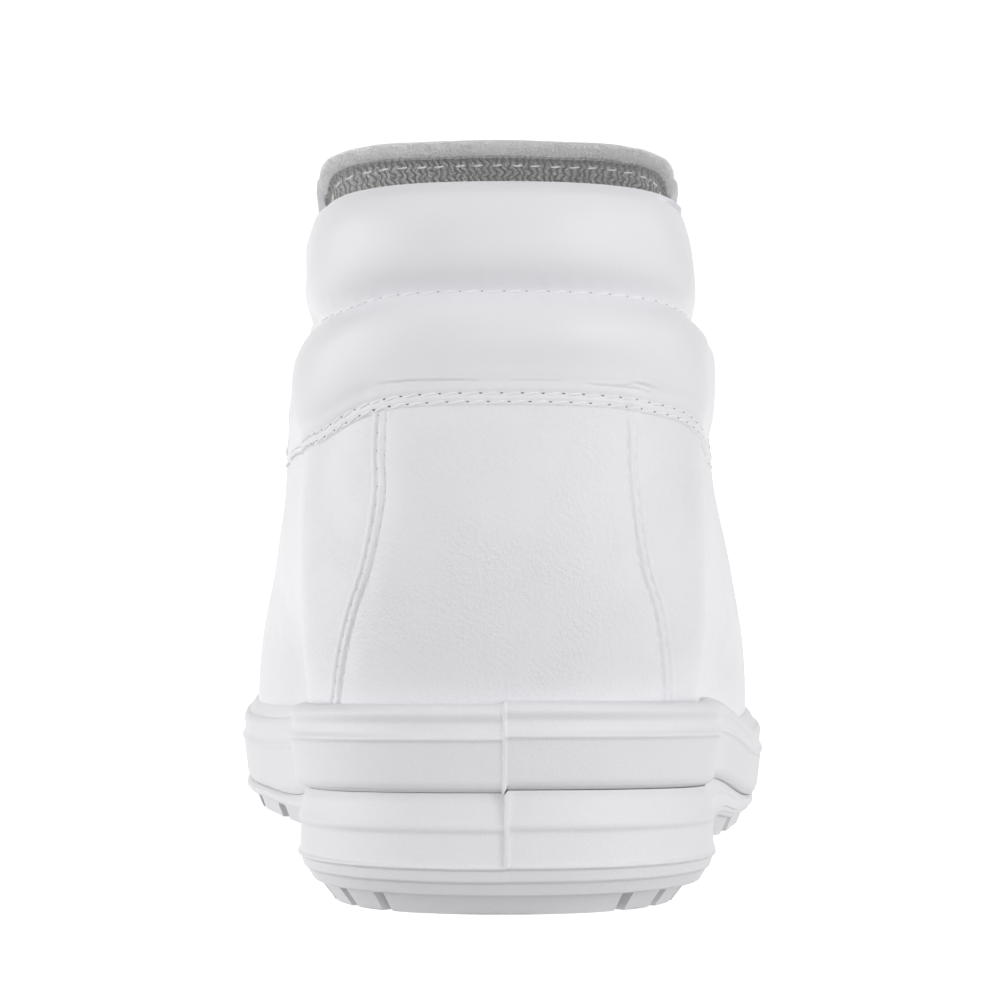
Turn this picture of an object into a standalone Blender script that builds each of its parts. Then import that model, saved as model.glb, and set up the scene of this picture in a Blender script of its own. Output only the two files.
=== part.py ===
"""Slip-on work shoe for the right foot, size EU 41, as an assembly of eight pieces.

The upper is a hollow shell lofted through closed contours of the last, from the margin inside the
sole to the topline. The sole, collar, heel counter and elastic gores are worked out from the same
contours. The toe points to +Y, the medial side lies at -X and the floor is z = 0.
Sizes are in millimetres and become metres when a mesh is made.
"""

import math
from collections import namedtuple

import bmesh
import bpy
import numpy as np

MM = 0.001

# Driving dimensions
LENGTH = 290.0
HALF_BALL = 53.5
HALF_HEEL = 37.75
COLLAR_HEIGHT = 120.5
TONGUE_HEIGHT = 136.4
TOE_SPRING = 11.0
LUG_HEIGHT = 3.5
ARCH_RISE = 2.0

# Thicknesses and clearances
WALL = 2.0
GAP = 0.3
INSOLE_THICKNESS = 4.0
COUNTER_THICKNESS = 1.1
GORE_THICKNESS = 1.4

# Shape of the last in plan
TOE_SWING = 8.0
WAIST_SWING = 2.0
BALL_SKEW = 17.0
HEEL_ROUND = 1.0
HEEL_POWER = 2.25
NOSE_POWER = 2.2

# Columns of the grid on each side of the shoe: heel to gore, across the gore, and vamp
QUARTER_COLUMNS = 12
GORE_COLUMNS = 3
VAMP_COLUMNS = 11
SIDE_COLUMNS = QUARTER_COLUMNS + GORE_COLUMNS + VAMP_COLUMNS
RING_COLUMNS = 2 * SIDE_COLUMNS
GORE_START = QUARTER_COLUMNS
GORE_END = QUARTER_COLUMNS + GORE_COLUMNS

# Levels of the contour table that other pieces refer to
MARGIN = 0
COLLAR_SEAM = 5
TOPLINE = 9
WALL_TOP = 0.9
NUDGE = 0.02

# Contours of the last, a row for each. Lengths along the shoe (back, front, nose, gore_back,
# gore_front) are shares of LENGTH, half widths are shares of HALF_HEEL (heel) or HALF_BALL (mid,
# fore, tip), heights are shares of COLLAR_HEIGHT, and the front's height of TONGUE_HEIGHT.
Contour = namedtuple(
    "Contour",
    "back front nose gore_back gore_front heel mid fore tip heel_z mid_z fore_z toe_z front_z",
)
CONTOURS = {
    "margin": Contour(
        0.022, 0.977, 0.250, 0.455, 0.486, 0.887, 0.676, 0.940, 0.800,
        0.228, 0.173, 0.116, 0.112, 0.158,
    ),
    "feather": Contour(
        0.015, 0.986, 0.245, 0.452, 0.483, 0.909, 0.694, 0.955, 0.811,
        0.307, 0.246, 0.192, 0.188, 0.227,
    ),
    "lower_girth": Contour(
        0.007, 0.983, 0.240, 0.445, 0.476, 0.938, 0.766, 0.938, 0.798,
        0.407, 0.357, 0.310, 0.307, 0.326,
    ),
    "upper_girth": Contour(
        0.003, 0.948, 0.245, 0.438, 0.466, 0.940, 0.785, 0.882, 0.750,
        0.515, 0.473, 0.427, 0.419, 0.418,
    ),
    "shoulder": Contour(
        0.005, 0.859, 0.290, 0.424, 0.452, 0.922, 0.748, 0.822, 0.699,
        0.622, 0.573, 0.527, 0.510, 0.480,
    ),
    "collar_seam": Contour(
        0.012, 0.710, 0.330, 0.407, 0.431, 0.890, 0.697, 0.785, 0.667,
        0.714, 0.656, 0.635, 0.621, 0.543,
    ),
    "lower_roll": Contour(
        0.021, 0.614, 0.260, 0.372, 0.414, 0.821, 0.647, 0.755, 0.654,
        0.788, 0.743, 0.733, 0.730, 0.627,
    ),
    "roll_groove": Contour(
        0.026, 0.524, 0.180, 0.334, 0.386, 0.781, 0.594, 0.658, 0.607,
        0.861, 0.832, 0.834, 0.851, 0.748,
    ),
    "upper_roll": Contour(
        0.029, 0.459, 0.131, 0.297, 0.359, 0.763, 0.564, 0.609, 0.710,
        0.934, 0.909, 0.917, 0.975, 0.872,
    ),
    "topline": Contour(
        0.033, 0.403, 0.085, 0.262, 0.331, 0.752, 0.553, 0.594, 0.766,
        1.000, 0.979, 0.996, 1.100, 1.000,
    ),
}

# Plan of the sole at its widest ridge. Its heights are those of the lines in SOLE_LINES.
SOLE_PLAN = Contour(0.0, 1.0, 0.255, 0.459, 0.490, 1.004, 0.752, 1.020, 0.865, 0, 0, 0, 0, 0)

# Stations along a contour, as shares of its own length
WIDTH_STATIONS = (0.0, 0.16, 0.42, 0.67, 1.0)
HEIGHT_STATIONS = (0.0, 0.42, 0.62, 0.80, 1.0)
HEEL_FADE = (0.20, 0.60)

# Height of each line of the sole at SOLE_STATIONS along the shoe, in millimetres
SOLE_STATIONS = (0.0, 0.20, 0.40, 0.62, 0.80, 1.0)
SOLE_LINES = {
    "wall_top": (36.0, 32.1, 28.2, 20.8, 20.8, 30.0),
    "groove": (21.3, 18.0, 13.8, 6.2, 6.7, 15.6),
}

# Drop of those lines along the medial and the lateral side, round a share of the length behind the ball
SIDE_DROP = {"wall_top": (0.0, 2.6), "groove": (1.5, 1.4)}
SIDE_DROP_SHARE = 0.54
SIDE_DROP_REACH = 0.07

# Side of the sole, a row for each step or rib: share of the height between its two lines, and how
# far it stands in from SOLE_PLAN at the heel and at the forefoot, in millimetres
SideStep = namedtuple("SideStep", "share heel_inset fore_inset")
MIDSOLE_SIDE = (
    SideStep(0.00, 3.4, 2.0),
    SideStep(0.05, 1.9, 1.5),
    SideStep(0.11, 1.4, 1.1),
    SideStep(0.57, 0.4, 0.3),
    SideStep(0.63, 0.0, 0.0),
    SideStep(0.69, 0.5, 0.5),
    SideStep(0.79, 0.7, 0.6),
    SideStep(0.93, 0.2, 0.4),
    SideStep(1.00, 1.2, 1.2),
)
OUTSOLE_SIDE = (
    SideStep(0.00, 4.1, 2.1),
    SideStep(0.13, 2.4, 1.9),
    SideStep(0.27, 1.8, 1.7),
    SideStep(0.31, 1.5, 1.5),
    SideStep(0.62, 1.9, 1.6),
    SideStep(0.68, 1.6, 1.6),
    SideStep(0.80, 1.8, 1.8),
    SideStep(0.92, 2.3, 2.1),
    SideStep(1.00, 3.2, 2.5),
)

# How far the midsole's rim rises inwards to the upper at the forefoot, and the level it reaches there
RIM_RISE = 2.6
RIM_LEVEL_RISE = 0.15

# How far each block of the sole lies to the lateral side at its heel and at its forefoot
Lean = namedtuple("Lean", "heel fore")
MIDSOLE_LEAN = Lean(0.2, 0.0)
OUTSOLE_LEAN = Lean(0.55, -0.5)
TREAD_LEAN = Lean(0.0, -0.5)

# Parting rib of the mould, down the middle of the heel and the toe
RIB_PROUD = 0.4
RIB_HALF_WIDTH = 0.2
RIB_FOOT = 0.3
RIB_LOWEST = 0.3

# Padded collar, a row for each corner of its section: level of the contours, distance out from the
# upper's face, and distance above the topline
CollarCorner = namedtuple("CollarCorner", "level out above")
INSIDE_FACE = -(WALL + GAP)
COLLAR_SECTION = (
    CollarCorner(5.00, GAP, 0.0),
    CollarCorner(5.03, 1.3, 0.0),
    CollarCorner(5.40, 3.2, 0.0),
    CollarCorner(6.00, 4.0, 0.0),
    CollarCorner(6.60, 3.7, 0.0),
    CollarCorner(7.00, 1.5, 0.0),
    CollarCorner(7.40, 3.7, 0.0),
    CollarCorner(8.00, 4.7, 0.0),
    CollarCorner(8.60, 4.3, 0.0),
    CollarCorner(9.00, 2.9, 0.0),
    CollarCorner(9.00, 0.9, 1.7),
    CollarCorner(9.00, -2.2, 1.7),
    CollarCorner(9.00, -3.9, 0.0),
    CollarCorner(8.30, -4.2, 0.0),
    CollarCorner(7.60, -3.4, 0.0),
    CollarCorner(7.60, INSIDE_FACE, 0.0),
    CollarCorner(8.30, INSIDE_FACE, 0.0),
    CollarCorner(9.00, INSIDE_FACE, GAP),
    CollarCorner(9.00, GAP, GAP),
    CollarCorner(8.00, GAP, 0.0),
    CollarCorner(7.00, GAP, 0.0),
    CollarCorner(6.00, GAP, 0.0),
    CollarCorner(5.50, GAP, 0.0),
)
COLLAR_END = QUARTER_COLUMNS - 0.8
COLLAR_STATIONS = 41
COLLAR_END_TAPER = 0.45

# Dip of the collar's lower edge towards the sides: places round the last, lateral ones negative, and
# how far the edge lies there below its level at the middle of the heel. The dip fades out between
# two levels of the section.
DipStation = namedtuple("DipStation", "place drop")
COLLAR_DIP = (
    DipStation(-11.2, 0.20),
    DipStation(-9.5, 0.22),
    DipStation(-7.0, 0.31),
    DipStation(-5.0, 0.28),
    DipStation(-4.2, 0.16),
    DipStation(-3.0, 0.07),
    DipStation(-1.5, 0.01),
    DipStation(0.0, 0.00),
    DipStation(1.35, 0.01),
    DipStation(2.25, 0.06),
    DipStation(2.7, 0.12),
    DipStation(3.35, 0.28),
    DipStation(3.8, 0.40),
    DipStation(4.95, 0.53),
    DipStation(7.0, 0.50),
    DipStation(9.5, 0.32),
    DipStation(11.2, 0.26),
)
COLLAR_DIP_LEVELS = (5.2, 9.0)

# How much slimmer the collar's rolls are along the two sides of the shoe than at the heel, by levels,
# and the columns between which they get slimmer
SlimStation = namedtuple("SlimStation", "level medial lateral")
COLLAR_SLIM = (
    SlimStation(5.0, 0.00, 0.00),
    SlimStation(5.4, 0.50, 0.10),
    SlimStation(5.8, 1.55, 0.40),
    SlimStation(6.2, 2.10, 0.20),
    SlimStation(6.6, 1.80, -0.70),
    SlimStation(7.0, 1.10, -0.20),
    SlimStation(7.4, 0.45, 0.45),
    SlimStation(8.0, 0.40, 0.95),
    SlimStation(8.6, -0.20, 1.25),
    SlimStation(9.0, -0.40, 1.20),
)
MEDIAL_SLIM_COLUMNS = (5.0, 9.5)
LATERAL_SLIM_COLUMNS = (3.5, 6.5)
SLIMMED_FROM = 1.0

# Heel counter, a row for each level: half width across the back of the heel
CounterRow = namedtuple("CounterRow", "level half_width")
COUNTER_ROWS = (
    CounterRow(1.05, 29.6),
    CounterRow(2.0, 28.2),
    CounterRow(3.0, 24.2),
    CounterRow(4.0, 22.4),
    CounterRow(4.80, 22.3),
)
COUNTER_COLUMNS = 12
COUNTER_LEVELS = 9

# Elastic gores: how far they lap under the upper, in columns and levels, and their top edge
GORE_REAR_LAP = 0.55
GORE_FRONT_LAP = 1.0
GORE_FOOT_LEVEL = 4.5
GORE_TOP_LEVEL = 8.5
GORE_TOP_DIP = 0.3
GORE_GAP = 0.4
GORE_PATCH_LEVELS = 9

# Upper: levels between two contours, and the round corners of the tongue, as distances in from its
# side edge and down from the topline
LEVELS_PER_CONTOUR = 2
CornerStation = namedtuple("CornerStation", "run_in drop")
TONGUE_CORNER = (
    CornerStation(0.0, 7.0),
    CornerStation(1.0, 4.6),
    CornerStation(3.0, 3.15),
    CornerStation(6.7, 1.7),
    CornerStation(11.5, 0.8),
    CornerStation(20.0, 0.4),
    CornerStation(34.0, 0.0),
)

# Tread: zones of lugs along its edge, from column to column, and zones of bars across its middle,
# as shares of LENGTH. Each lug takes a share of its pitch. Depth is measured in from the tread's edge.
LugZone = namedtuple("LugZone", "first last count lug_share")
EDGE_LUG_ZONES = (
    LugZone(2.76, 8.9, 5, 0.76),
    LugZone(14.9, 23.6, 7, 0.76),
)
BAR_ZONES = (
    LugZone(0.075, 0.265, 4, 0.62),
    LugZone(0.520, 0.870, 8, 0.62),
)
EDGE_LUG_INSET = 0.7
HEEL_LUG_DRAFT = 3.2
FORE_LUG_DRAFT = 1.6
EDGE_LUG_DEPTH = 9.0
LUG_SINK = 1.0
REAR_LUG_HALF_WIDTH = 23.3
TOE_LUG_START = 24.0
BAR_END_CLEARANCE = 4.0
BAR_SLANT = 5.0
CHANNEL_HALF_WIDTH = 2.2

MATERIALS = {
    "white_leather": ((0.86, 0.86, 0.87), 0.45),
    "white_rubber": ((0.84, 0.84, 0.85), 0.55),
    "elastic": ((0.80, 0.80, 0.80), 0.85),
    "grey_textile": ((0.28, 0.27, 0.27), 0.95),
}


def through(stations, values, at):
    """Smooth curve through values at the stations, read at the given places."""
    stations = np.asarray(stations, float)
    values = np.asarray(values, float)
    at = np.asarray(at, float)
    slopes = np.gradient(values, stations, axis=0)
    first = np.clip(np.searchsorted(stations, at, side="right") - 1, 0, len(stations) - 2)
    span = stations[first + 1] - stations[first]
    u = (at - stations[first]) / span
    shape = u.shape + (1,) * (values.ndim - 1)
    u = u.reshape(shape)
    span = span.reshape(shape)
    start = values[first] * (2 * u**3 - 3 * u**2 + 1) + slopes[first] * span * (u**3 - 2 * u**2 + u)
    end = values[first + 1] * (3 * u**2 - 2 * u**3) + slopes[first + 1] * span * (u**3 - u**2)
    return start + end


def ease(low, high, at):
    """0 below low, 1 above high, and a smooth step between them."""
    share = np.clip((np.asarray(at, float) - low) / (high - low), 0.0, 1.0)
    return share * share * (3 - 2 * share)


def centre_line(y, height=0.0):
    """Sideways swing of the last: medial at the toe, and at the waist lateral low and medial high."""
    lean = 1 - 1.6 * ease(0.2, 0.55, height)
    waist = WAIST_SWING * lean * np.exp(-(((y / LENGTH) - 0.40) / 0.15) ** 2)
    toe = TOE_SWING * np.clip((y / LENGTH - 0.41) / 0.59, 0.0, None) ** 3
    return waist - toe


def column_angles(contour, columns):
    """Angles round one side of a contour, from the heel at 0 to the front at pi, for grid columns."""
    run = contour.front - contour.back
    corners = [0.0, GORE_START, GORE_END, SIDE_COLUMNS]
    gore_back = math.acos(1 - 2 * (contour.gore_back - contour.back) / run)
    gore_front = math.acos(1 - 2 * (contour.gore_front - contour.back) / run)
    return np.interp(columns, corners, [0.0, gore_back, gore_front, math.pi])


def contour_points(contour, places):
    """Points of a contour at places round it.

    A place counts columns from the middle of the heel, along the medial side, across the front and
    back along the lateral side, so that lateral columns can be given as negative places.
    """
    places = np.asarray(places, float) % RING_COLUMNS
    side = np.where(places <= SIDE_COLUMNS, -1.0, 1.0)
    columns = np.where(places <= SIDE_COLUMNS, places, RING_COLUMNS - places)
    back = contour.back * LENGTH
    run = (contour.front - contour.back) * LENGTH
    u = (1 - np.cos(column_angles(contour, columns))) / 2
    y = back + u * run
    heel = contour.heel * HALF_HEEL
    mid = contour.mid * HALF_BALL
    fore = contour.fore * HALF_BALL
    tip = contour.tip * HALF_BALL
    width = through(WIDTH_STATIONS, (heel * 0.98, heel, mid, fore, tip), u)
    from_back = np.clip(1 - (y - back) / (heel * HEEL_ROUND), 0.0, 1.0)
    from_front = np.clip(1 - (back + run - y) / (contour.nose * LENGTH), 0.0, 1.0)
    half = width * (1 - from_back**HEEL_POWER) ** (1 / HEEL_POWER)
    half = half * (1 - from_front**NOSE_POWER) ** (1 / NOSE_POWER)
    skew = BALL_SKEW * (half / HALF_BALL) * np.sin(math.pi * u) ** 2 * run / LENGTH
    heights = (
        contour.heel_z * COLLAR_HEIGHT,
        contour.mid_z * COLLAR_HEIGHT,
        contour.fore_z * COLLAR_HEIGHT,
        contour.toe_z * COLLAR_HEIGHT,
        contour.front_z * TONGUE_HEIGHT,
    )
    z = through(HEIGHT_STATIONS, heights, u)
    return np.stack([centre_line(y, contour.heel_z) + side * half, y - side * skew, z], axis=-1)


def last_rows(places):
    """Points of every contour at places round the shoe."""
    return np.stack([contour_points(contour, places) for contour in CONTOURS.values()])


def last_points(places, levels):
    """Outer face of the upper at levels by places. Levels may be one row, or differ by place."""
    rows = last_rows(places)
    levels = np.clip(np.asarray(levels, float), MARGIN, TOPLINE)
    if levels.ndim == 1:
        return through(np.arange(len(rows)), rows, levels)
    found = [through(np.arange(len(rows)), rows[:, i], levels[:, i]) for i in range(len(places))]
    return np.stack(found, axis=1)


def last_frames(places, levels):
    """Points of the upper's outer face, its outward normals and the directions of rising levels."""
    places = np.asarray(places, float)
    levels = np.asarray(levels, float)
    across = last_points(places + NUDGE, levels) - last_points(places - NUDGE, levels)
    up = last_points(places, levels + NUDGE) - last_points(places, levels - NUDGE)
    normals = np.cross(up, across)
    normals /= np.linalg.norm(normals, axis=-1, keepdims=True)
    up /= np.linalg.norm(up, axis=-1, keepdims=True)
    return last_points(places, levels), normals, up


def clear_scene():
    for obj in list(bpy.data.objects):
        bpy.data.objects.remove(obj)


def material(name):
    colour, roughness = MATERIALS[name]
    made = bpy.data.materials.get(name) or bpy.data.materials.new(name)
    made.use_nodes = True
    shader = made.node_tree.nodes["Principled BSDF"]
    shader.inputs["Base Color"].default_value = (*colour, 1.0)
    shader.inputs["Roughness"].default_value = roughness
    shader.inputs["Metallic"].default_value = 0.0
    return made


class Builder:
    """Collects points and faces of one piece and makes its object, with the faces turned outwards."""

    def __init__(self):
        self.points = []
        self.faces = []

    def add(self, points):
        """Adds points and returns an array of their numbers, in the shape of the array given."""
        points = np.asarray(points, float)
        first = len(self.points)
        self.points.extend(points.reshape(-1, 3))
        return np.arange(first, len(self.points)).reshape(points.shape[:-1])

    def strip(self, first, second, closed=False):
        """Quads between two rows of point numbers."""
        count = len(first)
        for i in range(count if closed else count - 1):
            j = (i + 1) % count
            self.faces.append((first[i], first[j], second[j], second[i]))

    def grid(self, rows, closed=False):
        for lower, upper in zip(rows[:-1], rows[1:]):
            self.strip(lower, upper, closed)

    def ladder(self, ring):
        """Closes a ring round the shoe with rungs from its medial to its lateral side."""
        half = len(ring) // 2
        for i in range(half):
            corners = [ring[i], ring[i + 1], ring[-i - 1], ring[-i % len(ring)]]
            self.faces.append(tuple(dict.fromkeys(corners)))

    def shell(self, outer, inner, kept):
        """A wall between two grids closed round the shoe, over the cells that are kept."""
        rows, size = kept.shape
        for row, i in zip(*np.nonzero(kept)):
            j = (i + 1) % size
            for grid in (outer, inner):
                self.faces.append((grid[row, i], grid[row, j], grid[row + 1, j], grid[row + 1, i]))
            if row == 0:
                self.strip(outer[0, [i, j]], inner[0, [i, j]])
            if row == rows - 1 or not kept[row + 1, i]:
                self.strip(outer[row + 1, [i, j]], inner[row + 1, [i, j]])
            for edge, beyond in ((i, i - 1), (j, j)):
                if not kept[row, beyond]:
                    self.strip(outer[[row, row + 1], edge], inner[[row, row + 1], edge])

    def patch(self, outer, inner):
        """A closed plate between two grids of point numbers of the same shape."""
        self.grid(outer)
        self.grid(inner)
        for edge in (np.s_[0, :], np.s_[-1, :], np.s_[:, 0], np.s_[:, -1]):
            self.strip(outer[edge], inner[edge])

    def make(self, name, material_name, shift):
        mesh = bpy.data.meshes.new(name)
        points = (np.array(self.points) + shift) * MM
        faces = [tuple(int(i) for i in face) for face in self.faces]
        mesh.from_pydata(points.tolist(), [], faces)
        work = bmesh.new()
        work.from_mesh(mesh)
        loose = [vertex for vertex in work.verts if not vertex.link_faces]
        bmesh.ops.delete(work, geom=loose, context="VERTS")
        bmesh.ops.recalc_face_normals(work, faces=work.faces)
        work.to_mesh(mesh)
        work.free()
        mesh.shade_smooth()
        mesh.set_sharp_from_angle(angle=math.radians(40))
        mesh.materials.append(material(material_name))
        obj = bpy.data.objects.new(name, mesh)
        bpy.context.scene.collection.objects.link(obj)
        return obj


def sole_places():
    """Places of a sole ring, with four more at the heel for the parting rib."""
    near = abs(contour_points(SOLE_PLAN, 0.1)[0]) / 0.1
    rib = np.array([RIB_HALF_WIDTH, RIB_HALF_WIDTH + RIB_FOOT]) / near
    return np.concatenate([[0.0], rib, np.arange(1.0, RING_COLUMNS), RING_COLUMNS - rib[::-1]])


def sole_points(places, heel_inset, fore_inset, lean):
    """Points of the sole in plan, set in from SOLE_PLAN, and their shares of the shoe's length.

    They lie to the lateral side by their lean.
    """
    plan = contour_points(SOLE_PLAN, places)
    share = plan[:, 1] / LENGTH
    fade = ease(*HEEL_FADE, share)
    inset = heel_inset * (1 - fade) + fore_inset * fade
    along = contour_points(SOLE_PLAN, places + NUDGE) - contour_points(SOLE_PLAN, places - NUDGE)
    inward = np.stack([along[:, 1], -along[:, 0], np.zeros(len(plan))], axis=1)
    inward /= np.linalg.norm(inward, axis=1, keepdims=True)
    points = plan + inward * inset[:, None]
    points[:, 0] += lean.heel * (1 - fade) + lean.fore * fade
    return points, share


def sole_ring(step, lean, ribbed):
    """A ring of the sole's side, and its shares of the shoe's length. Its heights are still nought."""
    ring, share = sole_points(sole_places(), step.heel_inset, step.fore_inset, lean)
    if ribbed:
        ring[[0, 1, -1], 1] -= RIB_PROUD
    return ring, share


def line_height(line, ring, share):
    """Height of a line of the sole along a ring that has the given shares of the shoe's length."""
    height = through(SOLE_STATIONS, SOLE_LINES[line], np.clip(share, 0.0, 1.0))
    medial_drop, lateral_drop = SIDE_DROP[line]
    drop = np.where(ring[:, 0] > 0, lateral_drop, medial_drop)
    return height - drop * np.exp(-(((share - SIDE_DROP_SHARE) / SIDE_DROP_REACH) ** 2))


def tread_height(y):
    """Height of the lugs' lower faces: flat at heel and forefoot, raised at the arch and the toe."""
    share = np.asarray(y, float) / LENGTH
    toe = TOE_SPRING * np.clip((share - 0.74) / 0.26, 0.0, None) ** 1.8
    arch = ARCH_RISE * ease(0.30, 0.36, share) * (1 - ease(0.43, 0.50, share))
    return toe + arch


def build_midsole(shift):
    """Upper block of the sole: a cup that takes the foot of the upper, with its ribbed side."""
    builder = Builder()
    rings = []
    for step in MIDSOLE_SIDE:
        ring, share = sole_ring(step, MIDSOLE_LEAN, ribbed=True)
        groove = line_height("groove", ring, share)
        ring[:, 2] = groove + step.share * (line_height("wall_top", ring, share) - groove)
        rings.append(builder.add(ring))
    fade = ease(*HEEL_FADE, share)
    levels = np.outer([WALL_TOP, 0.45, MARGIN], np.ones_like(fade))
    levels[0] += RIM_LEVEL_RISE * fade
    face, normals, _ = last_frames(sole_places(), levels)
    cup = face + normals * GAP
    cup[0, :, 2] = ring[:, 2] + RIM_RISE * fade
    cup[-1, :, 2] -= GAP
    rings.extend(builder.add(cup))
    builder.grid(rings, closed=True)
    builder.ladder(rings[0])
    builder.ladder(rings[-1])
    return builder.make("midsole", "white_rubber", shift)


def build_outsole(shift):
    """Lower block of the sole, with its lugs."""
    builder = Builder()
    rings = []
    for step in OUTSOLE_SIDE:
        ring, share = sole_ring(step, OUTSOLE_LEAN, ribbed=step.share > RIB_LOWEST)
        root = tread_height(share * LENGTH) + LUG_HEIGHT
        ring[:, 2] = root + step.share * (line_height("groove", ring, share) - GAP - root)
        rings.append(builder.add(ring))
    builder.grid(rings, closed=True)
    builder.ladder(rings[0])
    builder.ladder(rings[-1])
    outsole = builder.make("outsole", "white_rubber", shift)
    union = outsole.modifiers.new("lugs", "BOOLEAN")
    union.operation = "UNION"
    union.object = build_lugs(shift)
    return outsole


def build_lugs(shift):
    """All lugs of the tread: a row along the edge, and bars across the middle."""
    builder = Builder()
    columns = np.arange(4.0)
    rear = np.interp(REAR_LUG_HALF_WIDTH, contour_points(SOLE_PLAN, -columns)[:, 0], columns)
    edge_lug(builder, -rear, rear)
    edge_lug(builder, TOE_LUG_START, RING_COLUMNS - TOE_LUG_START)
    for side in (-1.0, 1.0):
        for zone in EDGE_LUG_ZONES:
            pitch = (zone.last - zone.first) / zone.count
            for start in zone.first + pitch * np.arange(zone.count):
                edge_lug(builder, side * start, side * (start + pitch * zone.lug_share))
        for zone in BAR_ZONES:
            pitch = (zone.last - zone.first) * LENGTH / zone.count
            for y in zone.first * LENGTH + pitch * np.arange(zone.count):
                cross_bar(builder, y, pitch * zone.lug_share, side)
    lugs = builder.make("tread_lugs", "white_rubber", shift)
    lugs.hide_render = True
    lugs.display_type = "WIRE"
    return lugs


def lug_edge(places, depth, heel_draft=0.0, fore_draft=0.0):
    """Points at a depth in from the edge of the tread, and further in by a draft."""
    foot = OUTSOLE_SIDE[0]
    heel_inset = foot.heel_inset + depth + heel_draft
    fore_inset = foot.fore_inset + depth + fore_draft
    return sole_points(places, heel_inset, fore_inset, TREAD_LEAN)[0]


def edge_lug(builder, first, last):
    """A lug along the edge of the tread between two places."""
    places = np.linspace(first, last, 3 + 2 * int(abs(last - first)))
    inner = lug_edge(places, EDGE_LUG_DEPTH)[::-1]
    root = np.concatenate([lug_edge(places, EDGE_LUG_INSET), inner])
    edge = lug_edge(places, EDGE_LUG_INSET, HEEL_LUG_DRAFT, FORE_LUG_DRAFT)
    lug_block(builder, root, np.concatenate([edge, inner]))


def cross_bar(builder, y, depth, side):
    """A bar from the middle channel towards the edge lugs, slanting forward as it runs out."""
    inner = lug_edge(side * np.linspace(1.0, SIDE_COLUMNS - 1.0, 100), EDGE_LUG_DEPTH)
    outer_y = np.array([y, y + depth]) + BAR_SLANT
    outer_x = np.interp(outer_y, inner[:, 1], inner[:, 0]) + side * BAR_END_CLEARANCE
    inner_x = centre_line(y) - side * CHANNEL_HALF_WIDTH
    x = [inner_x, *outer_x, inner_x]
    corners = np.stack([x, [y, *outer_y, y + depth], np.zeros(4)], axis=1)
    lug_block(builder, corners.copy(), corners)


def lug_block(builder, root, foot):
    """One lug between its plan corners at the root and at the tread's lower face."""
    foot[:, 2] = tread_height(foot[:, 1])
    root[:, 2] = tread_height(root[:, 1]) + LUG_HEIGHT + LUG_SINK
    bottom = builder.add(foot)
    top = builder.add(root)
    builder.strip(bottom, top, closed=True)
    builder.faces.append(tuple(bottom))
    builder.faces.append(tuple(top))


def build_insole(shift):
    """Footbed on the floor of the midsole, inside the foot of the upper."""
    places = np.arange(RING_COLUMNS)
    face, normals, _ = last_frames(places, np.array([MARGIN, 0.45]))
    rings = face - normals * (WALL + GAP)
    rings[0, :, 2] = face[0, :, 2]
    rings[1, :, 2] = face[0, :, 2] + INSOLE_THICKNESS
    builder = Builder()
    low, high = builder.add(rings)
    builder.strip(low, high, closed=True)
    builder.ladder(low)
    builder.ladder(high)
    return builder.make("insole", "grey_textile", shift)


def rim_levels(places):
    """Level of the upper's top edge at each place, with the tongue's corners rounded off."""
    columns = np.minimum(places, RING_COLUMNS - places)
    corner = contour_points(CONTOURS["topline"], GORE_END)
    run_in = contour_points(CONTOURS["topline"], columns)[:, 0] - corner[0]
    drop = np.interp(run_in, *zip(*TONGUE_CORNER))
    rise = (CONTOURS["topline"].toe_z - CONTOURS["upper_roll"].toe_z) * COLLAR_HEIGHT
    return np.where(columns >= GORE_END, TOPLINE - drop / rise, TOPLINE)


def build_upper(shift):
    """Hollow shell of quarters, vamp and tongue, open at the collar, at both gores and underneath."""
    places = np.arange(RING_COLUMNS)
    shares = np.linspace(0.0, 1.0, TOPLINE * LEVELS_PER_CONTOUR + 1)[:, None]
    above_seam = np.clip((shares * TOPLINE - COLLAR_SEAM) / (TOPLINE - COLLAR_SEAM), 0.0, 1.0)
    levels = shares * TOPLINE - above_seam * (TOPLINE - rim_levels(places))
    face, normals, _ = last_frames(places, levels)
    columns = np.minimum(places, RING_COLUMNS - 1 - places)
    kept = np.ones((len(shares) - 1, RING_COLUMNS), bool)
    kept[COLLAR_SEAM * LEVELS_PER_CONTOUR :, (columns >= GORE_START) & (columns < GORE_END)] = False
    builder = Builder()
    builder.shell(builder.add(face), builder.add(face - normals * WALL), kept)
    return builder.make("upper", "white_leather", shift)


def collar_levels(places):
    """Levels of the collar's corners at places round the last, with the dip of its lower edge."""
    levels = np.array([corner.level for corner in COLLAR_SECTION])[:, None]
    low, high = COLLAR_DIP_LEVELS
    weight = np.clip((high - levels) / (high - low), 0.0, 1.0)
    return levels - weight * through(*zip(*COLLAR_DIP), places)


def collar_slimming(places):
    """How much slimmer the collar is at each of its corners, at places round the last."""
    stations, medial, lateral = zip(*COLLAR_SLIM)
    levels = np.array([corner.level for corner in COLLAR_SECTION])
    slim = np.outer(through(stations, medial, levels), ease(*MEDIAL_SLIM_COLUMNS, places))
    slim += np.outer(through(stations, lateral, levels), ease(*LATERAL_SLIM_COLUMNS, -places))
    padded = np.array([corner.out > SLIMMED_FROM for corner in COLLAR_SECTION])
    return slim * padded[:, None]


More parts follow.
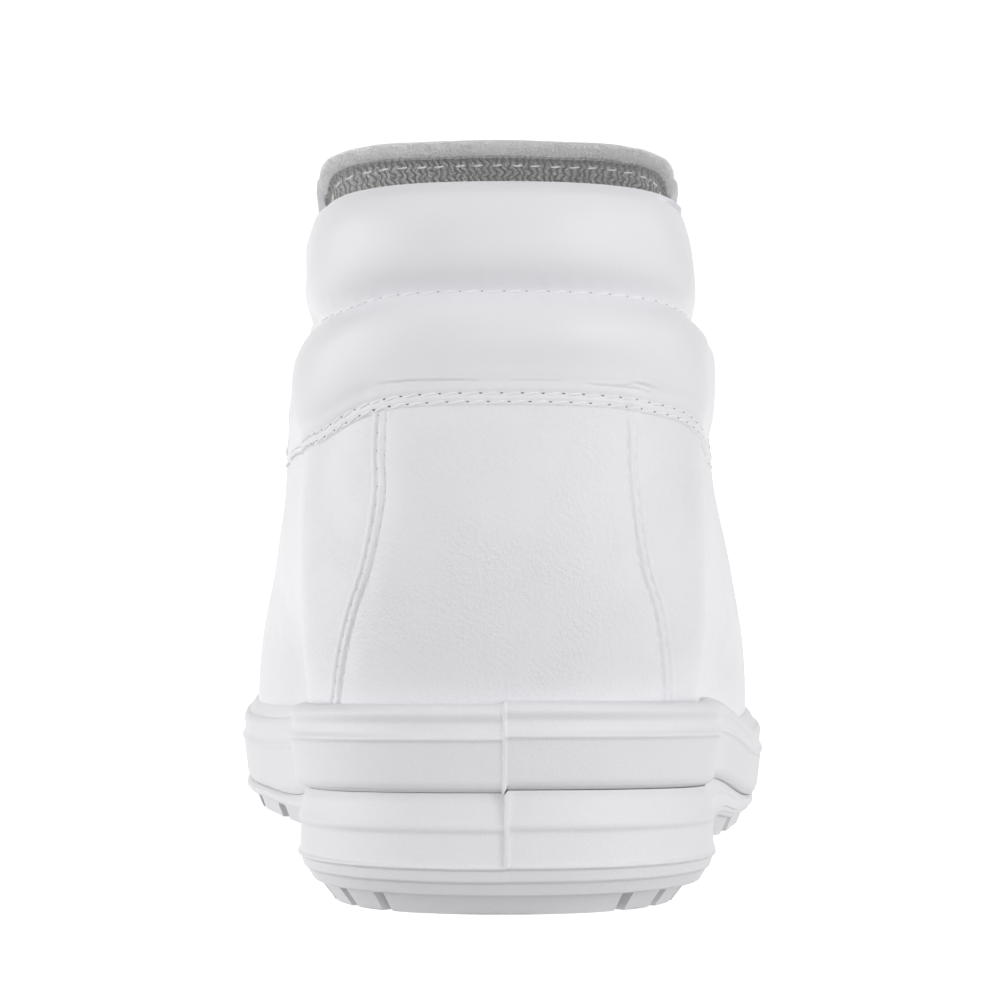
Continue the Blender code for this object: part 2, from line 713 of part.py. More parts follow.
def build_collar(shift):
    """Padded collar from gore to gore: two rolls outside, over the topline and down inside."""
    places = np.linspace(-COLLAR_END, COLLAR_END, COLLAR_STATIONS)
    face, normals, up = last_frames(places, collar_levels(places))
    fullness = 1 - COLLAR_END_TAPER * (1 - ease(0.0, 0.12, 1 - np.abs(places) / COLLAR_END))
    slimming = collar_slimming(places)
    builder = Builder()
    rows = []
    for i, corner in enumerate(COLLAR_SECTION):
        base = GAP if corner.out > 0 else INSIDE_FACE
        out = base + (corner.out - base - slimming[i]) * fullness
        rows.append(builder.add(face[i] + normals[i] * out[:, None] + up[i] * corner.above))
    builder.grid(rows + rows[:1])
    for end in (0, -1):
        builder.faces.append(tuple(row[end] for row in rows))
    return builder.make("collar", "white_leather", shift)


def build_counter(shift):
    """Heel counter panel over the back of the upper, from the sole's lip to the collar's seam."""
    levels = np.linspace(COUNTER_ROWS[0].level, COUNTER_ROWS[-1].level, COUNTER_LEVELS)
    half = through([row.level for row in COUNTER_ROWS], [row.half_width for row in COUNTER_ROWS], levels)
    sample = np.linspace(8.0, -8.0, 161)
    across = last_points(sample, levels)[:, :, 0]
    shares = np.linspace(-1.0, 1.0, COUNTER_COLUMNS + 1)
    places = [np.interp(width * shares, x, sample) for width, x in zip(half, across)]
    frames = [last_frames(row, np.array([level])) for row, level in zip(places, levels)]
    face = np.stack([frame[0][0] for frame in frames])
    normals = np.stack([frame[1][0] for frame in frames])
    builder = Builder()
    outer = builder.add(face + normals * (GAP + COUNTER_THICKNESS))
    builder.patch(outer, builder.add(face + normals * GAP))
    return builder.make("heel_counter", "white_leather", shift)


def build_gore(name, side, shift):
    """Elastic gore behind one notch of the upper, lapped under the notch's edges."""
    laps = [GORE_START - GORE_REAR_LAP, *range(GORE_START, GORE_END + 1), GORE_END + GORE_FRONT_LAP]
    places = side * np.array(laps, float)
    across = np.linspace(-1.0, 1.0, len(laps))
    top = GORE_TOP_LEVEL - GORE_TOP_DIP * (1 - across**2)
    levels = np.linspace(np.full(len(places), GORE_FOOT_LEVEL), top, GORE_PATCH_LEVELS)
    face, normals, _ = last_frames(places, levels)
    builder = Builder()
    outer = builder.add(face - normals * (WALL + GORE_GAP))
    builder.patch(outer, builder.add(face - normals * (WALL + GORE_GAP + GORE_THICKNESS)))
    return builder.make(name, "elastic", shift)


def centring_shift():
    """Shift that brings the middle of the sole's outline to x = 0, y = 0."""
    ring = sole_ring(SideStep(0.0, 0.0, 0.0), Lean(0.0, 0.0), ribbed=True)[0]
    middle = (ring.min(axis=0) + ring.max(axis=0)) / 2
    return np.array([-middle[0], -middle[1], 0.0])


def main():
    clear_scene()
    shift = centring_shift()
    build_outsole(shift)
    build_midsole(shift)
    build_insole(shift)
    build_upper(shift)
    build_collar(shift)
    build_counter(shift)
    build_gore("gore_medial", 1.0, shift)
    build_gore("gore_lateral", -1.0, shift)


main()
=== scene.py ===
"""Looks of a white slip-on work shoe for the right foot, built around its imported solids.

Every piece is worked out from the contours of the last, in millimetres, with the heel's back at
y = 0, the toe towards +y, the medial side at -x and the floor at z = 0. A piece comes into the
frame's metres when its mesh is made.
"""

import logging
import math
from collections.abc import Sequence
from dataclasses import dataclass
from enum import Enum, IntEnum
from typing import TypeVar

import bmesh
import bpy
import numpy as np
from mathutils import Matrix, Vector
from numpy.typing import ArrayLike, NDArray

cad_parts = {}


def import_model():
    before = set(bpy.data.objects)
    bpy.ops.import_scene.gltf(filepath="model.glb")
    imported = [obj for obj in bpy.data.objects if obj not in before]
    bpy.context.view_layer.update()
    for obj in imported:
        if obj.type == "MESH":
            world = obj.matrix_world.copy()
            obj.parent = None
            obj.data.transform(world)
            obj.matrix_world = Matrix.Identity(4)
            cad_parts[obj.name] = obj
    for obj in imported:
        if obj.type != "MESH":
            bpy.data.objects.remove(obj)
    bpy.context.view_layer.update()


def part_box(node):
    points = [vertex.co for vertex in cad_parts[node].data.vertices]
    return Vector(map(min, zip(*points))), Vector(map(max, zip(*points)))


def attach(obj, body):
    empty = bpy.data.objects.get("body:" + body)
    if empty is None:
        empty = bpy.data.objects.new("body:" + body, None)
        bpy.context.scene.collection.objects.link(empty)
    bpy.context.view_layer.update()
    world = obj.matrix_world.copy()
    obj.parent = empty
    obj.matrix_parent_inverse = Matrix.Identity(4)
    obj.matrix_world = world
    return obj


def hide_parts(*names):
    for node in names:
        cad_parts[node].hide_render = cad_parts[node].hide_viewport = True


Array = NDArray[np.float64]
Numbers = NDArray[np.int64]
Colour = tuple[float, float, float]
Pair = tuple[float, float]
Socket = bpy.types.NodeSocket
Row = TypeVar("Row")

MM = 0.001
BODY = "root"
LOG = logging.getLogger("slip_on_shoe")


class Level(IntEnum):
    """Contours of the last, from the margin inside the sole up to the topline."""

    MARGIN = 0
    FEATHER = 1
    LOWER_GIRTH = 2
    UPPER_GIRTH = 3
    SHOULDER = 4
    COLLAR_SEAM = 5
    LOWER_ROLL = 6
    ROLL_GROOVE = 7
    UPPER_ROLL = 8
    TOPLINE = 9


class Slot(Enum):
    """Material slots of the record, one given with each piece."""

    LEATHER = "white_leather"
    RUBBER = "white_rubber"
    ELASTIC = "elastic"
    TEXTILE = "grey_textile"


class Side(Enum):
    """Sides of the shoe, with the sign that their places round the last have."""

    MEDIAL = 1
    LATERAL = -1


class SoleLine(Enum):
    """Lines along the sole's side.

    Each has its heights in millimetres at the sole's stations, and its drops behind the ball along the
    medial and the lateral side.
    """

    WALL_TOP = ((36.0, 32.1, 28.2, 20.8, 20.8, 30.0), (0.0, 2.6))
    GROOVE = ((21.3, 18.0, 13.8, 6.2, 6.7, 15.6), (1.5, 1.4))

    @property
    def heights(self) -> tuple[float, ...]:
        """Heights at the sole's stations."""
        return self.value[0]

    @property
    def side_drops(self) -> Pair:
        """Drops behind the ball along the medial and the lateral side."""
        return self.value[1]


def ease(low: float, high: float, at: ArrayLike) -> Array:
    """A smooth step.

    Args:
        low: Where the step starts, at 0.
        high: Where the step ends, at 1.
        at: Where to read it.

    Returns:
        The step's height at each place.
    """
    share = np.clip((np.asarray(at, float) - low) / (high - low), 0.0, 1.0)
    return share * share * (3 - 2 * share)


def bell(distance: ArrayLike, width: float) -> Array:
    """A soft bump of height 1 that fades out over a width on both sides."""
    return np.exp(-((np.asarray(distance, float) / width) ** 2))


def blend(start: ArrayLike, end: ArrayLike, share: ArrayLike) -> Array:
    """A value a share of the way from start to end."""
    return start * (1 - share) + end * share


def table(kind: type[Row], *lines: tuple[float, ...]) -> tuple[Row, ...]:
    """Things of one kind, one for each line of values."""
    return tuple(kind(*line) for line in lines)


def unit(vectors: Array) -> Array:
    """The vectors at a length of 1."""
    return vectors / np.linalg.norm(vectors, axis=-1, keepdims=True)


def run_of(points: Array) -> Array:
    """Distance along a line of points, from its first point to each of them."""
    steps = np.linalg.norm(np.diff(points, axis=0), axis=1)
    return np.concatenate([[0.0], np.cumsum(steps)])


def read_line(rows: Array, run: Array, at: Array) -> Array:
    """What a line has at distances along it, from its rows and their own distances."""
    return np.stack([np.interp(at, run, column) for column in rows.T], axis=1)


def through(stations: ArrayLike, values: ArrayLike, at: ArrayLike) -> Array:
    """A smooth curve through values at stations.

    Args:
        stations: Rising places of the values.
        values: A value or a point for each station.
        at: Where to read the curve.

    Returns:
        The curve's values at those places.
    """
    stations = np.asarray(stations, float)
    values = np.asarray(values, float)
    at = np.asarray(at, float)
    slopes = np.gradient(values, stations, axis=0)
    first = np.clip(np.searchsorted(stations, at, side="right") - 1, 0, len(stations) - 2)
    span = stations[first + 1] - stations[first]
    shape = at.shape + (1,) * (values.ndim - 1)
    u = ((at - stations[first]) / span).reshape(shape)
    ends = (values[first], values[first + 1])
    return hermite(ends, (slopes[first], slopes[first + 1]), u, span.reshape(shape))


def hermite(ends: tuple[Array, Array], slopes: tuple[Array, Array], u: Array, span: ArrayLike = 1.0) -> Array:
    """A cubic stretch between two ends.

    Args:
        ends: Values at the start and at the end.
        slopes: Slopes there.
        u: Share of the way from start to end.
        span: Length of the stretch.

    Returns:
        The values on the way.
    """
    start = ends[0] * (2 * u**3 - 3 * u**2 + 1) + slopes[0] * span * (u**3 - 2 * u**2 + u)
    return start + ends[1] * (3 * u**2 - 2 * u**3) + slopes[1] * span * (u**3 - u**2)


def smooth_path(corners: Array, spacing: float) -> Array:
    """A smooth curve through corners, as evenly spaced points.

    Args:
        corners: Points that the curve runs through.
        spacing: Distance between the points of the result.

    Returns:
        Points along the curve, the first and last corner among them.
    """
    run = run_of(corners)
    fine = through(run, corners, np.linspace(0.0, run[-1], 40 * len(corners)))
    fine_run = run_of(fine)
    wanted = np.linspace(0.0, fine_run[-1], int(fine_run[-1] / spacing) + 2)
    return read_line(fine, fine_run, wanted)


def rounded_path(corners: Array, radius: float, spacing: float) -> Array:
    """A line through corners with each corner rounded off.

    Args:
        corners: Corners of the line.
        radius: Length taken off at each corner, less where a side is short.
        spacing: Greatest distance between points along the straight runs.

    Returns:
        Points along the rounded line.
    """
    bend = np.linspace(0.0, 1.0, 5)[:, None]
    parts = [corners[:1]]
    for before, corner, after in zip(corners[:-2], corners[1:-1], corners[2:]):
        back, ahead = before - corner, after - corner
        cut = min(radius, 0.45 * np.linalg.norm(back), 0.45 * np.linalg.norm(ahead))
        start = corner + unit(back) * cut
        end = corner + unit(ahead) * cut
        parts.append(start * (1 - bend) ** 2 + 2 * corner * bend * (1 - bend) + end * bend**2)
    parts.append(corners[-1:])
    line = np.concatenate(parts)
    filled = [line[:1]]
    for start, end in zip(line[:-1], line[1:]):
        count = max(1, math.ceil(np.linalg.norm(end - start) / spacing))
        shares = np.linspace(0.0, 1.0, count + 1)[1:, None]
        filled.append(start + (end - start) * shares)
    return np.concatenate(filled)


@dataclass(frozen=True)
class Contour:
    """One closed contour of the last.

    Lengths along the shoe (back to gore_front) are shares of the sole's length, half widths are
    shares of the half heel (heel) or half ball (mid to tip), heights are shares of the collar's
    height, and front_z of the tongue's height.
    """

    back: float
    front: float
    nose: float
    gore_back: float
    gore_front: float
    heel: float
    mid: float
    fore: float
    tip: float
    heel_z: float
    mid_z: float
    fore_z: float
    toe_z: float
    front_z: float


CONTOURS = dict(zip(Level, table(
    Contour,
    (0.022, 0.977, 0.250, 0.455, 0.486, 0.887, 0.676, 0.940, 0.800, 0.228, 0.173, 0.116, 0.112, 0.158),
    (0.015, 0.986, 0.245, 0.452, 0.483, 0.909, 0.694, 0.955, 0.811, 0.307, 0.246, 0.192, 0.188, 0.227),
    (0.007, 0.983, 0.240, 0.445, 0.476, 0.938, 0.766, 0.938, 0.798, 0.407, 0.357, 0.310, 0.307, 0.326),
    (0.003, 0.948, 0.245, 0.438, 0.466, 0.940, 0.785, 0.882, 0.750, 0.515, 0.473, 0.427, 0.419, 0.418),
    (0.005, 0.859, 0.290, 0.424, 0.452, 0.922, 0.748, 0.822, 0.699, 0.622, 0.573, 0.527, 0.510, 0.480),
    (0.012, 0.710, 0.330, 0.407, 0.431, 0.890, 0.697, 0.785, 0.667, 0.714, 0.656, 0.635, 0.621, 0.543),
    (0.021, 0.614, 0.260, 0.372, 0.414, 0.821, 0.647, 0.755, 0.654, 0.788, 0.743, 0.733, 0.730, 0.627),
    (0.026, 0.524, 0.180, 0.334, 0.386, 0.781, 0.594, 0.658, 0.607, 0.861, 0.832, 0.834, 0.851, 0.748),
    (0.029, 0.459, 0.131, 0.297, 0.359, 0.763, 0.564, 0.609, 0.710, 0.934, 0.909, 0.917, 0.975, 0.872),
    (0.033, 0.403, 0.085, 0.262, 0.331, 0.752, 0.553, 0.594, 0.766, 1.000, 0.979, 0.996, 1.100, 1.000),
)))
SOLE_PLAN = Contour(0.0, 1.0, 0.255, 0.459, 0.490, 1.004, 0.752, 1.020, 0.865, 0, 0, 0, 0, 0)


@dataclass(frozen=True)
class Surface:
    """Points of a surface with its outward normals and its directions of rising levels."""

    points: Array
    normals: Array
    up: Array

    def out(self, distance: ArrayLike) -> Array:
        """Points at a distance out from the surface."""
        return self.points + self.normals * np.asarray(distance, float)[..., None]


@dataclass(frozen=True)
class Last:
    """The form that the shoe is built on, as closed contours from the sole up to the topline.

    A place counts columns round a contour: from the middle of the heel, along the medial side,
    across the front and back along the lateral side, whose columns can be negative places.
    """

    length: float = 290.0
    half_ball: float = 53.5
    half_heel: float = 37.75
    collar_height: float = 120.5
    tongue_height: float = 136.4
    toe_swing: float = 8.0
    toe_swing_from: float = 0.41
    toe_swing_run: float = 0.59
    waist_swing: float = 2.0
    waist: Pair = (0.40, 0.15)
    waist_turn: float = 1.6
    waist_turn_heights: Pair = (0.2, 0.55)
    ball_skew: float = 17.0
    heel_power: float = 2.25
    nose_power: float = 2.2
    gore_start: int = 12
    gore_end: int = 15
    side_columns: int = 26
    ring_columns: int = 52
    wall: float = 2.0
    gap: float = 0.3
    nudge: float = 0.02
    width_stations: tuple[float, ...] = (0.0, 0.16, 0.42, 0.67, 1.0)
    height_stations: tuple[float, ...] = (0.0, 0.42, 0.62, 0.80, 1.0)

    def shift(self) -> Array:
        """Works out where the frame has the last.

        Returns:
            Shift from the last's own place to the frame's, where the midsole's box shows it.
        """
        plan = self.contour_points(SOLE_PLAN, np.arange(self.ring_columns))
        low, high = (np.array(corner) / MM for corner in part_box("midsole"))
        return np.array([low[0] - plan[:, 0].min(), high[1] - plan[:, 1].max(), 0.0])

    def centre_line(self, y: ArrayLike, height: float = 0.0) -> Array:
        """Sideways swing of the last.

        Args:
            y: Places along the shoe.
            height: Height of the contour at the heel, as a share of the collar's height.

        Returns:
            The middle line's x: medial at the toe, and at the waist lateral low and medial high.
        """
        share = np.asarray(y, float) / self.length
        middle, reach = self.waist
        turn = 1 - self.waist_turn * ease(*self.waist_turn_heights, height)
        waist = self.waist_swing * turn * bell(share - middle, reach)
        return waist - self.toe_swing * np.clip((share - self.toe_swing_from) / self.toe_swing_run, 0.0, None) ** 3

    def contour_points(self, contour: Contour, places: ArrayLike) -> Array:
        """Points of a contour.

        Args:
            contour: The contour.
            places: Places round it.

        Returns:
            A point for each place.
        """
        places = np.asarray(places, float) % self.ring_columns
        side = np.where(places <= self.side_columns, -1.0, 1.0)
        columns = np.where(places <= self.side_columns, places, self.ring_columns - places)
        back = contour.back * self.length
        run = (contour.front - contour.back) * self.length
        marks = [0.0, self.gore_start, self.gore_end, self.side_columns]
        shares = np.array([contour.back, contour.gore_back, contour.gore_front, contour.front])
        angles = np.arccos(1 - 2 * (shares - contour.back) / (contour.front - contour.back))
        u = (1 - np.cos(np.interp(columns, marks, angles))) / 2
        y = back + u * run
        heel = contour.heel * self.half_heel
        ball = np.array([contour.mid, contour.fore, contour.tip]) * self.half_ball
        width = through(self.width_stations, (heel * 0.98, heel, *ball), u)
        from_back = np.clip(1 - (y - back) / heel, 0.0, 1.0)
        from_front = np.clip(1 - (back + run - y) / (contour.nose * self.length), 0.0, 1.0)
        half = width * (1 - from_back**self.heel_power) ** (1 / self.heel_power)
        half = half * (1 - from_front**self.nose_power) ** (1 / self.nose_power)
        skew = self.ball_skew * (half / self.half_ball) * np.sin(math.pi * u) ** 2 * run / self.length
        rise = np.array([contour.heel_z, contour.mid_z, contour.fore_z, contour.toe_z]) * self.collar_height
        z = through(self.height_stations, (*rise, contour.front_z * self.tongue_height), u)
        return np.stack([self.centre_line(y, contour.heel_z) + side * half, y - side * skew, z], axis=-1)

    def face(self, places: ArrayLike, levels: ArrayLike) -> Array:
        """Points of the upper's outer face.

        Args:
            places: Places round the last.
            levels: Levels at those places, in a shape that goes with theirs.

        Returns:
            The points, in the common shape of both.
        """
        places, levels = np.broadcast_arrays(places, levels)
        flat = places.ravel()
        at = np.clip(levels.ravel().astype(float), Level.MARGIN, Level.TOPLINE)
        rows = np.stack([self.contour_points(contour, flat) for contour in CONTOURS.values()])
        slopes = np.gradient(rows, axis=0)
        first = np.minimum(at.astype(int), Level.TOPLINE - 1)
        pick = np.arange(len(flat))
        ends = (rows[first, pick], rows[first + 1, pick])
        tilt = (slopes[first, pick], slopes[first + 1, pick])
        return hermite(ends, tilt, (at - first)[:, None]).reshape(places.shape + (3,))

    def surface(self, places: ArrayLike, levels: ArrayLike) -> Surface:
        """The upper's outer face with its directions.

        Args:
            places: Places round the last.
            levels: Levels at those places, in a shape that goes with theirs.

        Returns:
            Points, normals and rising directions, in the common shape of both.
        """
        places = np.asarray(places, float)
        levels = np.asarray(levels, float)
        across = self.face(places + self.nudge, levels) - self.face(places - self.nudge, levels)
        up = self.face(places, levels + self.nudge) - self.face(places, levels - self.nudge)
        return Surface(self.face(places, levels), unit(np.cross(up, across)), unit(up))

    def even_places(self, end: float, level: float, count: int) -> tuple[Array, Array]:
        """Evenly spaced places round the heel.

        Args:
            end: Place on each side where the row ends.
            level: Level at which they are evenly spaced.
            count: Number of places.

        Returns:
            Places from the medial end to the lateral end, and their distances from the heel's
            middle, positive on the lateral side.
        """
        fine = np.linspace(end, -end, 1501)
        run = run_of(self.face(fine, level))
        run -= np.interp(0.0, fine[::-1], run[::-1])
        wanted = np.linspace(run[0], run[-1], count)
        return np.interp(wanted, run, fine), wanted


class NodeSheet:
    """Lays out the nodes of one tree."""

    def __init__(self, tree: bpy.types.NodeTree) -> None:
        """Starts on a tree."""
        self.tree = tree

    def node(self, kind: str, inputs: dict | None = None, **settings: object) -> bpy.types.Node:
        """Adds a node.

        Args:
            kind: Blender's name of the node type.
            inputs: Values or sockets for its inputs, by name or number.
            settings: The node's own settings.

        Returns:
            The node.
        """
        made = self.tree.nodes.new(kind)
        for name, value in settings.items():
            setattr(made, name, value)
        for key, value in (inputs or {}).items():
            if isinstance(value, Socket):
                self.tree.links.new(value, made.inputs[key])
            else:
                made.inputs[key].default_value = value
        return made

    def math(self, operation: str, *values: object) -> Socket:
        """The result of a sum on patterns or numbers."""
        return self.node("ShaderNodeMath", dict(enumerate(values)), operation=operation).outputs[0]

    def step(self, pattern: Socket, low: float, high: float) -> Socket:
        """A smooth step from 0 where a pattern is low to 1 where it is high."""
        inputs = {"Value": pattern, "From Min": low, "From Max": high}
        return self.node("ShaderNodeMapRange", inputs, interpolation_type="SMOOTHSTEP").outputs[0]


class ShaderSheet(NodeSheet):
    """Lays out the nodes of one material around its Principled shader."""

    def __init__(self, name: str, colour: Colour, roughness: float) -> None:
        """Starts a material.

        Args:
            name: The material's name.
            colour: Base colour.
            roughness: Roughness of the whole surface.
        """
        self.material = bpy.data.materials.new(name)
        self.material.use_nodes = True
        super().__init__(self.material.node_tree)
        self.shader = self.tree.nodes["Principled BSDF"]
        self.coords = self.node("ShaderNodeTexCoord").outputs["Object"]
        self.set("Base Color", (*colour, 1.0))
        self.set("Roughness", roughness)

    def set(self, socket: str, value: float | tuple) -> None:
        """Sets a value that is the same all over the surface."""
        self.shader.inputs[socket].default_value = value

    def feed(self, socket: str, output: Socket) -> None:
        """Links a pattern to one of the shader's sockets."""
        self.tree.links.new(output, self.shader.inputs[socket])

    def noise(self, size: float, detail: float) -> Socket:
        """A cloudy pattern, about 0.5 on average, of a size in millimetres with a number of finer octaves."""
        inputs = {"Vector": self.coords, "Scale": 1 / (size * MM), "Detail": detail}
        return self.node("ShaderNodeTexNoise", inputs).outputs[0]

    def cells(self, size: float) -> Socket:
        """Rounded pebbles of a size in millimetres, low in their middles."""
        inputs = {"Vector": self.coords, "Scale": 1 / (size * MM)}
        return self.node("ShaderNodeTexVoronoi", inputs, feature="SMOOTH_F1").outputs["Distance"]

    def spread(self, pattern: Socket, low: float, high: float) -> Socket:
        """A pattern's middle range brought to run from low to high."""
        inputs = {"Value": pattern, "From Min": 0.3, "From Max": 0.7, "To Min": low, "To Max": high}
        return self.node("ShaderNodeMapRange", inputs).outputs[0]

    def tint(self, pattern: Socket, dark: Colour, light: Colour) -> Socket:
        """Makes a colour between two for each height of a pattern.

        Args:
            pattern: Heights from 0 to 1.
            dark: Colour at 0.
            light: Colour at 1.

        Returns:
            The colours.
        """
        ramp = self.node("ShaderNodeValToRGB", {"Fac": pattern})
        ramp.color_ramp.elements[0].color = (*dark, 1.0)
        ramp.color_ramp.elements[1].color = (*light, 1.0)
        return ramp.outputs["Color"]

    def bump(self, height: Socket, depth: float) -> None:
        """Gives the surface the relief of a pattern, of a depth in millimetres."""
        inputs = {"Height": height, "Distance": depth * MM, "Strength": 1.0}
        self.feed("Normal", self.node("ShaderNodeBump", inputs).outputs["Normal"])


def shade(colour: Colour, share: float) -> Colour:
    """A colour brought down to a share of its brightness."""
    return tuple(channel * share for channel in colour)


@dataclass(frozen=True)
class Finish:
    """A surface finish, which makes its material when a piece first asks for it."""

    name: str
    colour: Colour
    roughness: float

    def material(self) -> bpy.types.Material:
        """Makes the finish's material when it is first asked for.

        Returns:
            The material, the same one for every piece.
        """
        found = bpy.data.materials.get(self.name)
        if found is None:
            sheet = ShaderSheet(self.name, self.colour, self.roughness)
            self.dress(sheet)
            found = sheet.material
        return found

    def dress(self, sheet: ShaderSheet) -> None:
        """Lays the finish's patterns over the shader, soft mottling if it has no others."""
        mottle = sheet.noise(3.0, 3.0)
        sheet.feed("Base Color", sheet.tint(mottle, shade(self.colour, 0.94), self.colour))


@dataclass(frozen=True)
class Leather(Finish):
    """Coated white leather with a pebbled grain."""

    grain: float = 0.6
    depth: float = 0.03
    coat: float = 0.15

    def dress(self, sheet: ShaderSheet) -> None:
        """Adds grain, faint mottling and uneven gloss.

        Args:
            sheet: The material's nodes.
        """
        pebbles = sheet.cells(self.grain)
        pores = sheet.noise(0.4 * self.grain, 1.0)
        patches = sheet.spread(sheet.noise(9.0, 2.0), 0.35, 1.0)
        height = sheet.math("MULTIPLY", sheet.math("ADD", pebbles, pores), patches)
        sheet.bump(height, self.depth)
        clouds = sheet.noise(22.0, 3.0)
        sheet.feed("Base Color", sheet.tint(clouds, shade(self.colour, 0.965), self.colour))
        gloss = sheet.spread(sheet.noise(5.0, 2.0), self.roughness - 0.05, self.roughness + 0.06)
        sheet.feed("Roughness", gloss)
        sheet.set("Coat Weight", self.coat)
        sheet.set("Coat Roughness", 0.32)


@dataclass(frozen=True)
class Rubber(Finish):
    """Moulded white sole rubber, satin with patches of fine stipple."""

    stipple: float = 0.36
    depth: float = 0.07
    speckle: float = 0.93

    def dress(self, sheet: ShaderSheet) -> None:
        """Adds stipple, faint flow marks and uneven gloss.

        Args:
            sheet: The material's nodes.
        """
        grit = sheet.noise(self.stipple, 1.0)
        patches = sheet.spread(sheet.noise(16.0, 1.0), 0.15, 1.0)
        sheet.bump(sheet.math("MULTIPLY", grit, patches), self.depth)
        flow = sheet.math("MULTIPLY", sheet.noise(30.0, 4.0), sheet.spread(grit, 0.55, 1.35))
        sheet.feed("Base Color", sheet.tint(flow, shade(self.colour, self.speckle), self.colour))
        sheet.feed("Roughness", sheet.spread(grit, self.roughness - 0.05, self.roughness + 0.08))


@dataclass(frozen=True)
class Knit(Finish):
    """Grey knitted lining: wavy ribs of yarn along the cloth, with painted shade darkening it along its top edge.
    """

    yarn: Colour = (0.85, 0.84, 0.84)
    rib_pitch: float = 1.35
    rib_wave: float = 2.1
    painted_edge_shade: float = 1.7

    def dress(self, sheet: ShaderSheet) -> None:
        """Adds ribs of loops, stray fibres and painted shade along the top edge.

        Args:
            sheet: The material's nodes.
        """
        cloth = sheet.node("ShaderNodeAttribute", attribute_name="cloth").outputs["Vector"]
        parts = sheet.node("ShaderNodeSeparateXYZ", {0: cloth}).outputs
        fuzz = sheet.noise(0.45, 3.0)
        turn = 2 * math.pi
        sway = sheet.math("SINE", sheet.math("MULTIPLY", parts[1], turn / self.rib_wave))
        wander = sheet.math("MULTIPLY", sheet.noise(2.4, 2.0), 1.6)
        along = sheet.math("ADD", sheet.math("MULTIPLY", sway, 0.16), wander)
        phase = sheet.math("ADD", sheet.math("DIVIDE", parts[0], self.rib_pitch), along)
        rib = sheet.math("ABSOLUTE", sheet.math("SINE", sheet.math("MULTIPLY", phase, turn / 2)))
        loops = sheet.math("MULTIPLY", rib, sheet.spread(fuzz, 0.25, 1.15))
        # painted shade: the colour darkens towards the lining's top edge, over the first painted_edge_shade
        # millimetres
        edge = sheet.math("SMOOTH_MAX", sheet.math("DIVIDE", parts[1], self.painted_edge_shade), 0.35, 0.1)
        light = sheet.math("MULTIPLY", loops, sheet.math("MINIMUM", edge, 1.0))
        sheet.feed("Base Color", sheet.tint(light, self.colour, self.yarn))
        sheet.bump(loops, 0.35)
        sheet.set("Sheen Weight", 0.25)
        sheet.set("Sheen Roughness", 0.6)


@dataclass(frozen=True)
class Fleece(Finish):
    """Fuzzy cut back of the tongue's leather, speckled light grey."""

    fleck: Colour = (0.84, 0.835, 0.83)

    def dress(self, sheet: ShaderSheet) -> None:
        """Adds flecks and a napped relief.

        Args:
            sheet: The material's nodes.
        """
        nap = sheet.noise(0.5, 4.0)
        sheet.feed("Base Color", sheet.tint(sheet.spread(nap, 0.0, 1.0), self.fleck, self.colour))
        sheet.bump(nap, 0.4)
        sheet.set("Sheen Weight", 0.5)


@dataclass(frozen=True)
class Yarn(Finish):
    """Sewing thread or elastic yarn, with a fine twist."""

    twist: float = 0.25

    def dress(self, sheet: ShaderSheet) -> None:
        """Adds the twist and a little sheen.

        Args:
            sheet: The material's nodes.
        """
        twist = sheet.noise(self.twist, 2.0)
        sheet.bump(twist, 0.08)
        sheet.feed("Base Color", sheet.tint(twist, shade(self.colour, 0.9), self.colour))
        sheet.set("Sheen Weight", 0.15)


@dataclass(frozen=True)
class Paper(Finish):
    """White studio paper under and around the shoe, which glows a little."""

    glow: float = 0.7

    def dress(self, sheet: ShaderSheet) -> None:
        """Adds a trace of tooth, and the glow.

        Args:
            sheet: The material's nodes.
        """
        tooth = sheet.noise(2.0, 2.0)
        sheet.bump(tooth, 0.02)
        sheet.set("Emission Color", (1.0, 1.0, 1.0, 1.0))
        sheet.set("Emission Strength", self.glow)


SMOOTH_LEATHER = Leather("smooth_leather", (0.845, 0.842, 0.873), 0.42, grain=0.55, depth=0.02)
GRAINED_LEATHER = Leather("grained_leather", (0.845, 0.842, 0.871), 0.40, grain=0.6, depth=0.13)
SOLE_RUBBER = Rubber("sole_rubber", (0.845, 0.841, 0.866), 0.45)
KNIT_LINING = Knit("knit_lining", (0.30, 0.295, 0.295), 0.9)
FLEECE_BACK = Fleece("fleece_back", (0.97, 0.968, 0.965), 0.95)
GORE_ELASTIC = Yarn("gore_elastic", (0.78, 0.775, 0.79), 0.8)
SEAM_THREAD = Yarn("seam_thread", (0.93, 0.925, 0.94), 0.5)
LINING_THREAD = Yarn("lining_thread", (0.93, 0.92, 0.89), 0.6)
# painted shade: a dark grey that stands for the shade inside the needle-hole mouths
PAINTED_HOLE_SHADE = Finish("painted_hole_shade", (0.16, 0.155, 0.16), 0.9)
FOOTBED_CLOTH = Fleece("footbed_cloth", (0.42, 0.41, 0.41), 0.9, fleck=(0.22, 0.215, 0.215))
FLOOR_PAPER = Paper("floor_paper", (0.9, 0.9, 0.9), 0.8)


